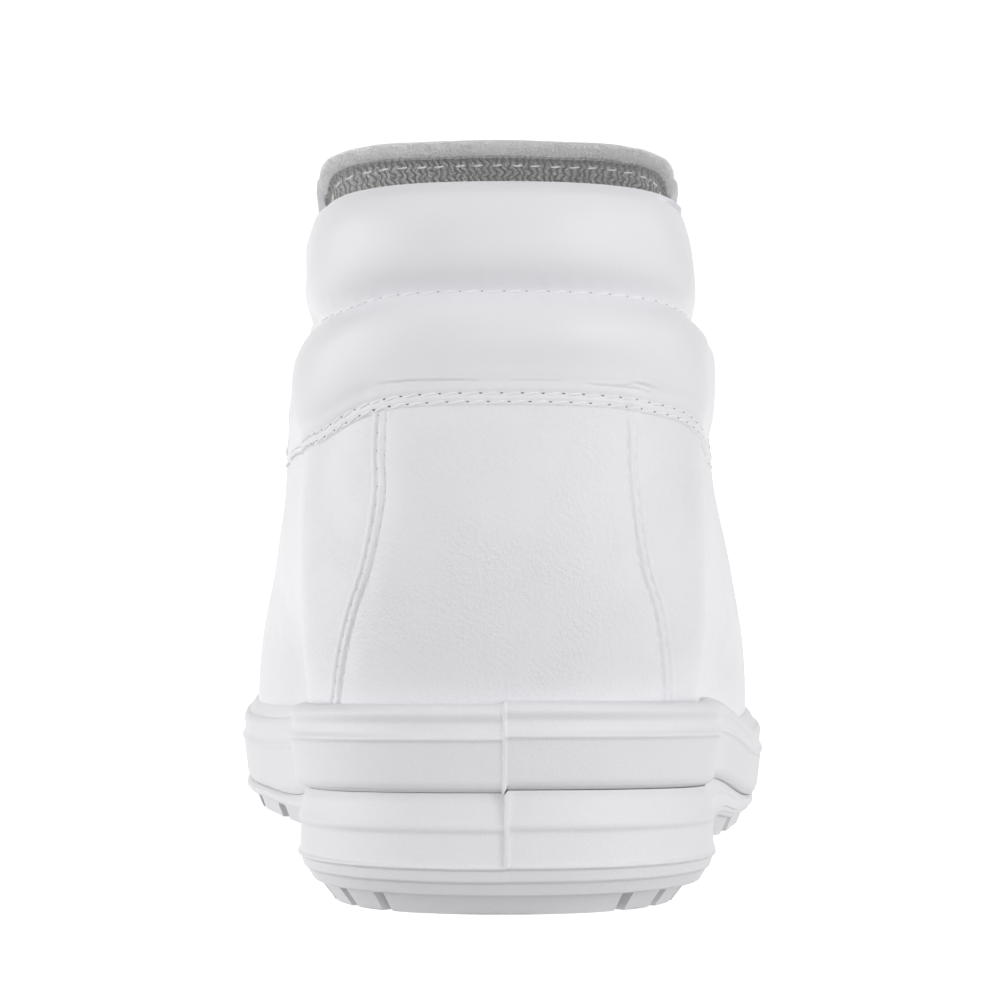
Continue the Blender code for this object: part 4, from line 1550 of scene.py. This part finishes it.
    def build_fuzz(self) -> None:
        """Makes the loose fibres of the fleecy band, each a tiny closed spike."""
        chance = np.random.default_rng(self.fibre_seed)
        start = self.last.gore_end + self.lining_margin
        places = chance.uniform(start, self.last.ring_columns - start, self.fibres)
        order = np.argsort(self.places())
        rim, height = (
            np.interp(places, self.places()[order], values[order]) for values in (self.rim(), self.level_height())
        )
        drop = chance.uniform(*self.fibre_drop, self.fibres)
        base = self.last.surface(places, rim - drop / height)
        across = np.cross(base.up, base.normals)
        lean = chance.normal(0.0, self.fibre_lean, (2, self.fibres, 1))
        along = unit(-base.normals + lean[0] * base.up + lean[1] * across)
        length = chance.uniform(*self.fibre_length, (self.fibres, 1))
        side = unit(np.cross(along, base.up))
        axes = np.stack([side, np.cross(along, side), along * length], axis=1)
        turn = circle(3)
        foot = np.stack([self.fibre_radius * np.cos(turn), self.fibre_radius * np.sin(turn), np.zeros(3)], axis=1)
        spike = np.concatenate([foot, [(0.0, 0.0, 1.0)]])
        sides = np.array([(0, 1, 3), (1, 2, 3), (2, 0, 3), (2, 1, 0)])
        skin = np.interp(drop, (0.0, 2.0), (0.4, self.skin))
        maker = MeshMaker()
        maker.copies(spike, np.zeros((0, 4), int), sides, base.out(self.fibre_root - skin), axes)
        self.put_on(maker, "tongue_fuzz", Slot.TEXTILE, [FLEECE_BACK])

    def lining_seam(self) -> Surface:
        """Draws the seam that holds the lining to the tongue.

        Returns:
            Line of its stitches, on the lining's face.
        """
        on = self.columns() > self.last.gore_end + 2 * self.lining_margin
        level = self.lining_rim() - self.lining_stitch_drop / self.level_height()
        face = self.last.surface(self.places()[on], level[on])
        return Surface(face.out(-self.last.wall), -face.normals, face.up)

    def notch_seam(self, side: Side) -> Surface:
        """Line of the stitches that hold a gore, round its notch.

        Args:
            side: Side of the shoe.

        Returns:
            Points of the upper's face from the collar's end, under the notch and up the tongue.
        """
        start, end = self.last.gore_start, self.last.gore_end
        corners = np.array(
            [(start - 0.7, 4.62), (start + 0.8, 4.68), (end - 0.8, 4.72), (end + 0.55, 5.3), (end + 0.6, 8.3)]
        )
        path = smooth_path(corners, 0.05)
        return self.last.surface(side.value * path[:, 0], path[:, 1])


@dataclass(frozen=True)
class SidePair:
    """What a level has on the medial and on the lateral side, in millimetres."""

    level: float
    medial: float
    lateral: float


def side_curves(pairs: Sequence[SidePair], levels: Array) -> tuple[Array, Array]:
    """Draws smooth curves through pairs.

    Args:
        pairs: The pairs, by rising level.
        levels: Levels to read the curves at.

    Returns:
        What the medial and the lateral side have at those levels.
    """
    stations = [pair.level for pair in pairs]
    medial = through(stations, [pair.medial for pair in pairs], levels)
    return medial, through(stations, [pair.lateral for pair in pairs], levels)


@dataclass
class HeelPanel(SubAssembly):
    """Leather panel over the back of the heel, sewn down along both sides with a double seam."""

    rows: tuple[SidePair, ...] = table(
        SidePair,
        (0.76, 28.6, 28.1), (1.65, 27.0, 27.3), (2.20, 25.2, 26.1), (2.65, 23.2, 24.2), (3.15, 21.7, 23.0),
        (3.68, 20.7, 22.2), (4.18, 20.8, 21.8), (4.69, 20.6, 21.8), (4.97, 20.5, 21.7),
    )
    edge_beyond: float = 1.2
    row_gap: float = 1.45
    edge_height: float = 0.55
    thickness: float = 1.2
    seam_depth: float = 0.36
    seam_width: float = 0.24
    ridge: float = 0.22
    ridge_width: float = 0.42
    edge_width: float = 0.7
    crown_reach: float = 6.0
    skived: Pair = (4.55, 4.97)
    skived_share: float = 0.55
    side_crowding: float = 0.8
    lift: float = 0.03
    sink: float = 0.25
    across: int = 230
    up: int = 110

    def edges(self, levels: ArrayLike) -> tuple[Array, Array]:
        """Works out the panel's edges.

        Args:
            levels: Levels to read them at.

        Returns:
            Their x on the medial and on the lateral side.
        """
        medial, lateral = side_curves(self.rows, np.clip(levels, self.rows[0].level, self.rows[-1].level))
        return -medial - self.edge_beyond, lateral + self.edge_beyond

    def rise(self, x: Array, levels: Array) -> Array:
        """Height of the panel's face over the upper's, 0 beside the panel.

        Args:
            x: Places across the heel.
            levels: Levels at those places.

        Returns:
            The height, with the seams pressed in and the top edge skived thin.
        """
        medial, lateral = self.edges(levels)
        inside = np.minimum(x - medial, lateral - x)
        edge = np.clip(inside / self.edge_width, 0.0, 1.0)
        height = self.edge_height * np.sqrt(1 - (1 - edge) ** 2)
        height = height + (self.thickness - self.edge_height) * ease(0.0, self.crown_reach, inside)
        for seam in self.seams():
            height = height - self.seam_depth * bell(inside - seam, self.seam_width) * edge
        middle = self.edge_beyond + self.row_gap / 2
        height = height + self.ridge * bell(inside - middle, self.ridge_width)
        return height * (1 - self.skived_share * ease(*self.skived, levels))

    def seams(self) -> Pair:
        """Distances of the two rows of stitches in from the panel's edge."""
        return self.edge_beyond, self.edge_beyond + self.row_gap

    def places_at(self, x: Array, level: float) -> Array:
        """Places round the last where a level has the given x."""
        sample = np.linspace(8.0, -8.0, 321)
        return np.interp(x, self.last.face(sample, level)[:, 0], sample)

    def surface(self, x: Array, levels: Array) -> Surface:
        """The upper's face under the panel, at rows of x that have a level each."""
        places = np.stack([self.places_at(row, level) for row, level in zip(x, levels)])
        return self.last.surface(places, levels[:, None])

    def build(self) -> None:
        """Makes the panel."""
        levels = np.linspace(self.rows[0].level, self.rows[-1].level, self.up + 1)
        medial, lateral = self.edges(levels)
        shares = np.linspace(0.0, 1.0, self.across + 1)
        shares = shares - np.sin(2 * math.pi * shares) / (2 * math.pi) * self.side_crowding
        x = medial[:, None] + (lateral - medial)[:, None] * shares
        surface = self.surface(x, levels)
        maker = MeshMaker()
        outer = maker.add(surface.out(self.lift + self.rise(x, levels[:, None])))
        maker.plate(outer, maker.add(surface.out(-self.sink)))
        self.put_on(maker, "heel_panel", Slot.LEATHER, [GRAINED_LEATHER], ["heel_counter"])

    def seam_lines(self) -> list[Surface]:
        """Draws the panel's seams.

        Returns:
            Lines of the four rows of stitches, on the panel's face.
        """
        levels = np.linspace(self.rows[0].level + 0.2, self.rows[-1].level - 0.1, 120)
        lines = []
        for inset in self.seams():
            for edge, inward in zip(self.edges(levels), (1.0, -1.0)):
                x = (edge + inward * inset)[:, None]
                face = self.surface(x, levels)
                points = face.out(self.rise(x, levels[:, None]))[:, 0]
                lines.append(Surface(points, face.normals[:, 0], face.up[:, 0]))
        return lines


@dataclass(frozen=True)
class CollarCorner:
    """A corner of the collar's section: level, distance out from the upper's face and above the topline."""

    level: float
    out: float
    above: float = 0.0


@dataclass(frozen=True)
class FoldCrease:
    """A soft crease along the collar.

    It runs from start to end, measured round the heel from its middle, at a level that changes by
    rise along its way and by bow at its middle, with a trough of a width in millimetres and a low
    ridge above it.
    """

    start: float
    end: float
    level: float
    rise: float
    bow: float
    width: float
    depth: float

    def relief(self, across: Array, levels: Array, level_height: float) -> Array:
        """Works out the form of the crease.

        Args:
            across: Places across the heel.
            levels: Levels there.
            level_height: Millimetres from level to level.

        Returns:
            Height of the crease at those places.
        """
        share = (across - self.start) / (self.end - self.start)
        middle = self.level + self.rise * share + self.bow * (1 - (2 * share - 1) ** 2)
        off = (levels - middle) * level_height
        form = 0.45 * bell(off - 1.6 * self.width, 1.4 * self.width) - bell(off, self.width)
        return self.depth * form * ease(-0.05, 0.2, share) * (1 - ease(0.8, 1.05, share))


@dataclass(frozen=True)
class SoftWave:
    """A long low wave round one of the collar's rolls: its height, length and phase, and its level and reach."""

    height: float
    length: float
    phase: float
    level: float
    reach: float

    def relief(self, across: Array, levels: Array) -> Array:
        """Height of the wave at places across the heel and levels."""
        return self.height * np.sin(across / self.length + self.phase) * bell(levels - self.level, self.reach)


@dataclass
class Collar(SubAssembly):
    """Padded leather collar from gore to gore: two rolls outside, over the topline and down inside."""

    panel: HeelPanel
    corners: tuple[CollarCorner, ...] = table(
        CollarCorner,
        (4.885, -0.10), (4.893, 0.14), (4.915, 0.27), (4.935, 0.26), (5.003, 0.58), (5.070, 0.42),
        (5.140, 0.86), (5.260, 1.40), (5.400, 2.25), (5.60, 3.20), (6.00, 4.45), (6.35, 4.70),
        (6.65, 3.90), (6.90, 2.20), (7.00, 1.55), (7.10, 2.15), (7.38, 3.80), (8.00, 4.85), (8.60, 4.40),
        (9.00, 2.90), (9.00, 0.90, 1.7), (9.00, -2.20, 1.7), (9.00, -3.90, 0.0), (8.30, -4.30),
        (7.75, -3.80), (7.58, -2.60),
    )
    back: tuple[CollarCorner, ...] = table(
        CollarCorner,
        (7.60, -2.05), (8.30, -2.05), (9.00, -2.05, 0.05), (9.00, 0.05, 0.05), (8.00, 0.05), (7.00, 0.05),
        (6.00, 0.05), (5.30, 0.05),
    )
    level_height: float = 9.0
    spacing: float = 0.11
    flange_step: int = 2
    padding_step: int = 5
    end_place: float = 11.2
    end_taper: float = 0.45
    end_round: float = 0.5
    stations: int = 340
    flange_top: Pair = (5.05, 5.6)
    dip: tuple[Pair, ...] = (
        (-11.2, 0.20), (-9.5, 0.22), (-7.0, 0.31), (-5.0, 0.28), (-4.2, 0.16), (-3.0, 0.07), (-1.5, 0.01),
        (0.0, 0.0), (1.35, 0.01), (2.25, 0.06), (2.7, 0.12), (3.35, 0.28), (3.8, 0.40), (4.95, 0.53),
        (7.0, 0.50), (9.5, 0.32), (11.2, 0.26),
    )
    dip_levels: Pair = (5.2, 9.0)
    panel_level: float = 4.9
    flange: float = 0.25
    inner_face: float = -2.05
    least_rise: float = 0.1
    waves: tuple[SoftWave, ...] = table(SoftWave, (0.22, 9.1, 0.6, 6.15, 0.5), (0.20, 13.2, 2.0, 8.1, 0.6))
    groove_pitch: float = 3.7
    pucker: float = 0.07
    pucker_levels: Pair = (6.84, 7.16)
    pucker_reach: float = 0.13
    lump: float = 0.4
    lump_across: Pair = (18.8, 1.8)
    lump_levels: Pair = (5.1, 0.16)
    slim: tuple[SidePair, ...] = table(
        SidePair,
        (5.0, 0.00, 0.00), (5.4, 0.50, 0.10), (5.8, 1.55, 0.40), (6.2, 2.10, 0.20), (6.6, 1.80, -0.70),
        (7.0, 1.10, -0.20), (7.4, 0.45, 0.50), (8.0, 0.40, 1.00), (8.6, -0.30, 1.30), (9.0, -0.40, 1.20),
    )
    medial_slim_columns: Pair = (5.0, 9.5)
    lateral_slim_columns: Pair = (3.5, 6.5)
    fold_creases: tuple[FoldCrease, ...] = table(
        FoldCrease,
        (-18.0, -2.5, 5.315, -0.055, 0.00, 0.16, 0.30), (0.5, 8.0, 5.265, 0.0, 0.00, 0.16, 0.16),
        (11.5, 17.5, 5.24, 0.0, -0.01, 0.15, 0.26), (15.8, 18.8, 5.235, 0.055, 0.0, 0.15, 0.30),
        (18.4, 23.5, 5.305, -0.03, 0.03, 0.16, 0.32), (16.5, 22.5, 5.23, -0.02, 0.01, 0.15, 0.26),
    )

    def section(self) -> Array:
        """Draws the fine section of the collar.

        Returns:
            Rows of level, distance out and distance above the topline.
        """
        corners = np.array([(c.level * self.level_height, c.out, c.above) for c in self.corners])
        rows = smooth_path(corners, self.spacing)
        rows[:, 0] /= self.level_height
        padding = int(np.argmax(rows[:, 0] > self.flange_top[1]))
        rows = np.concatenate([rows[: padding : self.flange_step], rows[padding :: self.padding_step], rows[-1:]])
        back = np.array([(c.level, c.out, c.above) for c in self.back])
        return np.concatenate([rows, back])

    def levels(self, places: Array, levels: Array) -> Array:
        """Lowers the section's rows with the dip of the lower edge towards the sides.

        Args:
            places: Places round the last.
            levels: Levels of the rows at the heel.

        Returns:
            Levels by row and place.
        """
        stations, drops = np.array(self.dip).T
        low, high = self.dip_levels
        weight = np.clip((high - levels) / (high - low), 0.0, 1.0)
        return levels[:, None] - weight[:, None] * through(stations, drops, places)

    def fullness(self, places: Array) -> Array:
        """Works out how full the padding is.

        Args:
            places: Places round the last.

        Returns:
            Its share of the full padding: less near the ends, and nothing at the very ends.
        """
        left = self.end_place - np.abs(places)
        taper = 1 - self.end_taper * (1 - ease(0.0, 0.12 * self.end_place, left))
        return taper * np.sqrt(1 - (1 - np.clip(left / self.end_round, 0.0, 1.0)) ** 2)

    def slimming(self, places: Array, levels: Array) -> Array:
        """Works out how much slimmer the padding is than at the heel.

        Args:
            places: Places round the last.
            levels: Levels of the section's rows.

        Returns:
            Millimetres by row and place.
        """
        medial, lateral = side_curves(self.slim, np.maximum(levels, self.slim[0].level))
        slim = np.outer(medial, ease(*self.medial_slim_columns, places))
        return slim + np.outer(lateral, ease(*self.lateral_slim_columns, -places))

    def relief(self, across: Array, levels: Array) -> Array:
        """Soft unevenness of the padding.

        Args:
            across: Distances round the heel from its middle, positive on the lateral side.
            levels: Levels there.

        Returns:
            Height of creases, waves, puckers and the lump over the panel's lateral seam.
        """
        height = sum(crease.relief(across, levels, self.level_height) for crease in self.fold_creases)
        for wave in self.waves:
            height = height + wave.relief(across, levels)
        pucker = self.pucker * np.cos(2 * math.pi * across / self.groove_pitch)
        height = height + pucker * sum(bell(levels - level, self.pucker_reach) for level in self.pucker_levels)
        place, width = self.lump_across
        level, reach = self.lump_levels
        return height + self.lump * bell(across - place, width) * bell(levels - level, reach)

    def outside(self, places: Array, across: Array, levels: Array, out: Array, x: Array) -> Array:
        """Distance of the collar's outer face from the upper's.

        Args:
            places: Places round the last.
            across: Their distances round the heel from its middle.
            levels: Levels of the section's rows.
            out: The section's distances out, for those rows.
            x: Where the upper's face lies across the shoe, at those rows and places.

        Returns:
            The distance, over the heel panel's edge and with the padding's unevenness.
        """
        under = self.panel.rise(x, np.full(x.shape, self.panel_level))
        under = np.clip(under, 0.0, None) * (1 - ease(*self.flange_top, levels))[:, None]
        rest = np.minimum(out, self.flange)[:, None]
        fullness = self.fullness(places)
        padding = out[:, None] - rest - self.slimming(places, levels) + self.relief(across, levels[:, None])
        return rest + padding * fullness + under

    def build(self) -> None:
        """Makes the collar."""
        places, across = self.last.even_places(self.end_place, Level.ROLL_GROOVE, self.stations)
        section = self.section()
        base = self.last.surface(places, self.levels(places, section[:, 0]))
        front = np.argmax(section[:, 0])
        fullness = self.fullness(places)
        out = np.where(section[:, 1:2] > 0, 0.0, self.inner_face) * np.ones(len(places))
        out += (section[:, 1:2] - out) * fullness
        x = base.points[:front, :, 0]
        out[:front] = self.outside(places, across, section[:front, 0], section[:front, 1], x)
        points = base.out(out) + base.up * (section[:, 2:] * np.maximum(fullness, self.least_rise))[..., None]
        maker = MeshMaker()
        numbers = maker.add(points)
        maker.grid(numbers, over=True)
        maker.face(numbers[:, :1].T)
        maker.face(numbers[:, -1:].T)
        cover = self.put_on(maker, "collar_cover", Slot.LEATHER, [SMOOTH_LEATHER], ["collar"])

    def seam_line(self, level: float, end: float) -> Surface:
        """Line along the collar's outer face.

        Args:
            level: Its level.
            end: Place on each side where it ends.

        Returns:
            Points and directions along the line, from the medial to the lateral side.
        """
        places, across = self.last.even_places(end, Level.ROLL_GROOVE, 700)
        section = self.section()
        front = np.argmax(section[:, 0])
        out = np.interp(level, section[:front, 0], section[:front, 1])
        base = self.last.surface(places, self.levels(places, np.array([level])))
        distance = self.outside(places, across, np.array([level]), np.array([out]), base.points[..., 0])
        return Surface(base.out(distance)[0], base.normals[0], base.up[0])


@dataclass
class Gores(SubAssembly):
    """Ribbed elastic behind the notch on each side of the tongue."""

    rear_lap: float = 0.55
    front_lap: float = 1.0
    foot_level: float = 4.5
    top_level: float = 8.5
    top_dip: float = 0.3
    front_drop: float = 0.4
    front_drop_run: Pair = (0.3, 0.9)
    welt: float = 0.3
    welt_share: float = 0.05
    depth: float = 0.35
    thickness: float = 1.4
    rib_pitch: float = 1.3
    rib_height: float = 0.28
    across: int = 220
    up: int = 48

    def build(self) -> None:
        """Makes both gores."""
        for side in Side:
            self.build_gore(side)

    def build_gore(self, side: Side) -> None:
        """Makes the gore of one side.

        Args:
            side: Side of the shoe.
        """
        rear = self.last.gore_start - self.rear_lap
        front = self.last.gore_end + self.front_lap
        places = side.value * np.linspace(rear, front, self.across + 1)
        share = np.linspace(-1.0, 1.0, self.across + 1)
        top = self.top_level - self.top_dip * (1 - share**2) - self.front_drop * ease(*self.front_drop_run, share)
        levels = np.linspace(np.full(self.across + 1, self.foot_level), top, self.up + 1)
        surface = self.last.surface(places, levels)
        run = run_of(surface.points[self.up // 2])
        ribs = self.rib_height * np.abs(np.sin(math.pi * run / self.rib_pitch)) ** 0.6
        welt = self.welt * bell(np.linspace(-1.0, 0.0, self.up + 1), self.welt_share)[:, None]
        face = -(self.last.wall + self.depth + self.rib_height)
        maker = MeshMaker()
        outer = maker.add(surface.out(face + ribs + welt))
        maker.plate(outer, maker.add(surface.out(np.full(levels.shape, face - self.thickness))))
        name = f"gore_{side.name.lower()}"
        self.put_on(maker, f"{name}_band", Slot.ELASTIC, [GORE_ELASTIC], [name])


def circle(sides: int) -> Array:
    """Angles of points evenly round a circle."""
    return np.linspace(0.0, 2 * math.pi, sides, endpoint=False)


def tipped(rings: Array, tips: Array) -> tuple[Array, Numbers, Numbers]:
    """Closes a small form through rings of points, with a tip at each end.

    Args:
        rings: Points by ring and side.
        tips: The tip at the first ring and the tip at the last.

    Returns:
        Its points, its four-sided and its three-sided faces.
    """
    count, sides = rings.shape[:2]
    numbers = np.arange(count * sides).reshape(count, sides)
    beside = np.roll(numbers, -1, axis=1)
    quads = np.stack([numbers[:-1], beside[:-1], beside[1:], numbers[1:]], axis=-1).reshape(-1, 4)
    start = np.stack([np.full(sides, count * sides), beside[0], numbers[0]], axis=-1)
    end = np.stack([np.full(sides, count * sides + 1), numbers[-1], beside[-1]], axis=-1)
    return np.concatenate([rings.reshape(-1, 3), tips]), quads, np.concatenate([start, end])


@dataclass(frozen=True)
class Stitch:
    """A kind of stitch.

    It has its pitch, thread radius, slant to its seam, share of the pitch that shows, and the radius of the dark
    cone of painted shade at each needle-hole mouth.
    """

    pitch: float
    thread: float
    slant: float
    shown: float
    hole: float

    def form(self) -> tuple[Array, Numbers, Numbers]:
        """The thread of one stitch, a capsule that dips at both ends.

        Returns:
            Its points in axes along, across and up, its four-sided and its three-sided faces.
        """
        rings, sides = 7, 7
        half = self.pitch * self.shown / 2
        along = np.linspace(-0.96, 0.96, rings)
        thick = self.thread * np.sqrt(1 - along**4)
        turn = circle(sides)
        arch = self.thread * (0.45 - 1.15 * along**2)
        length = np.broadcast_to(half * along[:, None], (rings, sides))
        width = thick[:, None] * np.cos(turn)
        body = np.stack([length, width, thick[:, None] * np.sin(turn) + arch[:, None]], axis=-1)
        dip = -0.7 * self.thread
        return tipped(body, np.array([(-half, 0.0, dip), (half, 0.0, dip)]))

    def hole_shade_form(self) -> tuple[Array, Numbers, Numbers]:
        """The mouth of a needle hole as painted shade: a low dark cone that stands for the shade inside the hole.

        Returns:
            Its points in axes along, across and up, its four-sided and its three-sided faces.
        """
        sides = 9
        turn = circle(sides)
        rim = np.stack([self.hole * np.cos(turn), 0.8 * self.hole * np.sin(turn), np.full(sides, -0.25)], axis=-1)
        lip = rim * (0.72, 0.72, 0.0) + (0.0, 0.0, 0.045)
        tips = np.array([(0.0, 0.0, -0.3), (0.0, 0.0, 0.055)])
        aside = np.array([0.0, 0.55 * self.hole, 0.0])
        return tipped(np.stack([rim, lip]) + aside, tips + aside)


@dataclass
class Stitching(SubAssembly):
    """All rows of stitches, with painted shade at each needle-hole mouth."""

    upper: Upper
    panel: HeelPanel
    collar: Collar
    collar_stitch: Stitch = Stitch(3.45, 0.21, 12.0, 0.80, 0.46)
    groove_stitch: Stitch = Stitch(3.7, 0.20, 9.0, 0.80, 0.38)
    panel_stitch: Stitch = Stitch(3.0, 0.17, 6.0, 0.74, 0.26)
    notch_stitch: Stitch = Stitch(3.2, 0.24, 8.0, 0.84, 0.26)
    lining_stitch: Stitch = Stitch(3.7, 0.20, 7.0, 0.62, 0.0)
    collar_rows: Pair = (4.935, 5.070)
    collar_set_on: float = 0.4
    panel_set_on: float = 0.3
    seam_end: float = 10.75
    wobble: float = 0.06

    def build(self) -> None:
        """Makes the seams' threads with the painted shade of their needle-hole mouths, and the lining's threads.
        """
        threads, hole_shades, inside = MeshMaker(), MeshMaker(), MeshMaker()
        for offset, level in enumerate(self.collar_rows):
            line = self.collar.seam_line(level, self.seam_end)
            self.sew(threads, hole_shades, line, self.collar_stitch, self.collar_set_on * offset)
        self.sew(threads, hole_shades, self.collar.seam_line(Level.ROLL_GROOVE, self.seam_end), self.groove_stitch)
        for offset, line in enumerate(self.panel.seam_lines()):
            self.sew(threads, hole_shades, line, self.panel_stitch, self.panel_set_on * offset)
        for side in Side:
            self.sew(threads, hole_shades, self.upper.notch_seam(side), self.notch_stitch)
        self.sew(inside, None, self.upper.lining_seam(), self.lining_stitch)
        self.put_on(threads, "seam_threads", Slot.LEATHER, [SEAM_THREAD])
        # painted shade: the dark cones at the needle-hole mouths
        self.put_on(hole_shades, "painted_hole_shades", Slot.LEATHER, [PAINTED_HOLE_SHADE])
        self.put_on(inside, "lining_threads", Slot.TEXTILE, [LINING_THREAD])

    def sew(
        self, threads: MeshMaker, hole_shades: MeshMaker | None, line: Surface, stitch: Stitch, offset: float = 0.0
    ) -> None:
        """Sews a row of stitches.

        Args:
            threads: Takes the threads.
            hole_shades: Takes the painted shade of the needle-hole mouths, if the row shows any.
            line: The seam.
            stitch: Kind of stitch.
            offset: Share of the pitch by which the first stitch is set on.
        """
        run = run_of(line.points)
        count = int(run[-1] / stitch.pitch - offset)
        middles = (np.arange(count) + 0.5 + offset) * stitch.pitch
        wobble = self.wobble * stitch.pitch * np.sin(2.4 * np.arange(count) + 0.7)
        places, axes = self.stand(line, run, middles + wobble, stitch.slant)
        threads.copies(*stitch.form(), places, axes)
        # painted shade: a dark cone at each needle-hole mouth, between the stitches
        if hole_shades is not None:
            places, axes = self.stand(line, run, (np.arange(count + 1) + offset) * stitch.pitch, stitch.slant)
            hole_shades.copies(*stitch.hole_shade_form(), places, axes)

    def stand(self, line: Surface, run: Array, at: Array, slant: float) -> tuple[Array, Array]:
        """Where stitches stand on a seam.

        Args:
            line: The seam.
            run: Distances along it to its points.
            at: Distances along it to the stitches.
            slant: Turn of each stitch against the seam, in degrees.

        Returns:
            The stitches' places, and their directions along, across and up.
        """
        places = read_line(line.points, run, at)
        up = unit(read_line(line.normals, run, at))
        ahead = read_line(np.gradient(line.points, run, axis=0), run, at)
        across = unit(np.cross(up, ahead))
        ahead = np.cross(across, up)
        turn = math.radians(slant)
        along = math.cos(turn) * ahead + math.sin(turn) * across
        return places, np.stack([along, np.cross(up, along), up], axis=1)


@dataclass(frozen=True)
class LightZone:
    """A bright zone of the light tent.

    It has its light over the tent's own, and the soft steps that bound it along each axis, from where
    a step starts to where it is full, as parts of a direction's length.
    """

    light: float
    x: tuple[Pair, ...] = ()
    y: tuple[Pair, ...] = ()
    z: tuple[Pair, ...] = ()


@dataclass
class Studio:
    """Floor, light and camera, at the photograph's view from straight behind the heel."""

    last: Last
    image: int = 1000
    view_distance: float = 700.0
    view_height: float = 83.3
    focal_pixels: float = 4251.0
    horizon_row: float = 415.8
    heel_column: float = 503.0
    sensor: float = 36.0
    floor_half: float = 40.0
    floor_lines: int = 9
    tent_light: float = 0.255
    zones: tuple[LightZone, ...] = (
        LightZone(0.08, z=((-0.15, 0.05),)),
        LightZone(2.3, x=((-0.75, -0.92),), z=((-0.5, -0.2), (0.6, 0.3))),
        LightZone(0.82, x=((0.75, 0.92),), z=((-0.5, -0.2), (0.6, 0.3))),
        LightZone(3.4, x=((0.40, 0.60), (0.9, 0.75)), y=((-0.2, -0.5),), z=((-0.25, 0.0), (0.65, 0.35))),
        LightZone(2.9, x=((-0.45, -0.2), (0.45, 0.2)), y=((-0.75, -0.9),), z=((-0.14, -0.02), (0.35, 0.12))),
        LightZone(0.5, y=((0.3, -0.3),), z=((0.5, 0.85),)),
        LightZone(0.75, y=((0.6, 0.95),), z=((-0.4, -0.02),)),
    )

    def build(self) -> None:
        """Sets up the studio."""
        self.build_floor()
        self.build_light()
        self.build_camera()

    def build_floor(self) -> None:
        """Lays the paper floor."""
        half = self.floor_half / MM
        line = np.linspace(-half, half, self.floor_lines)
        maker = MeshMaker()
        maker.grid(maker.add(np.stack(np.meshgrid(line, line, 0.0), axis=-1)[:, :, 0]))
        floor = maker.make("paper_floor", [FLOOR_PAPER], np.zeros(3))
        floor.visible_diffuse = False

    def build_light(self) -> None:
        """Hangs a dim light tent with its bright zones."""
        scene = bpy.context.scene
        scene.view_settings.view_transform = "Standard"
        scene.world = bpy.data.worlds.new("light_tent")
        scene.world.use_nodes = True
        sheet = NodeSheet(scene.world.node_tree)
        toward = sheet.node("ShaderNodeTexCoord").outputs["Generated"]
        axes = sheet.node("ShaderNodeSeparateXYZ", {0: toward}).outputs
        light = self.tent_light
        for zone in self.zones:
            reach = 1.0
            for axis, steps in zip(axes, (zone.x, zone.y, zone.z)):
                for start, end in steps:
                    reach = sheet.math("MULTIPLY", sheet.step(axis, start, end), reach)
            light = sheet.math("MULTIPLY_ADD", reach, zone.light, light)
        background = sheet.tree.nodes["Background"]
        background.inputs["Color"].default_value = (1.0, 1.0, 1.0, 1.0)
        sheet.tree.links.new(light, background.inputs["Strength"])

    def build_camera(self) -> None:
        """Sets the camera behind the heel, tilted down to the photograph's horizon."""
        lens = bpy.data.cameras.new("photograph_view")
        lens.sensor_width = self.sensor
        lens.lens = self.focal_pixels / self.image * self.sensor
        lens.clip_end = 100.0
        camera = bpy.data.objects.new("photograph_view", lens)
        heel = self.last.shift()
        aside = (self.heel_column - self.image / 2) / self.focal_pixels * self.view_distance
        camera.location = Vector((heel[0] - aside, heel[1] - self.view_distance, self.view_height)) * MM
        tilt = math.atan((self.image / 2 - self.horizon_row) / self.focal_pixels)
        camera.rotation_euler = (math.pi / 2 - tilt, 0.0, 0.0)
        bpy.context.scene.collection.objects.link(camera)
        bpy.context.scene.camera = camera


def main() -> None:
    """Loads the frame and dresses the shoe, piece by piece."""
    logging.basicConfig(level=logging.INFO, format="%(name)s: %(message)s")
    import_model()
    last = Last()
    panel = HeelPanel(last)
    upper = Upper(last)
    collar = Collar(last, panel)
    parts = [
        Outsole(last),
        Midsole(last),
        Insole(last),
        upper,
        panel,
        collar,
        Gores(last),
        Stitching(last, upper, panel, collar),
        Studio(last),
    ]
    for part in parts:
        part.build()
        LOG.info("%s built", type(part).__name__)


if __name__ == "__main__":
    main()
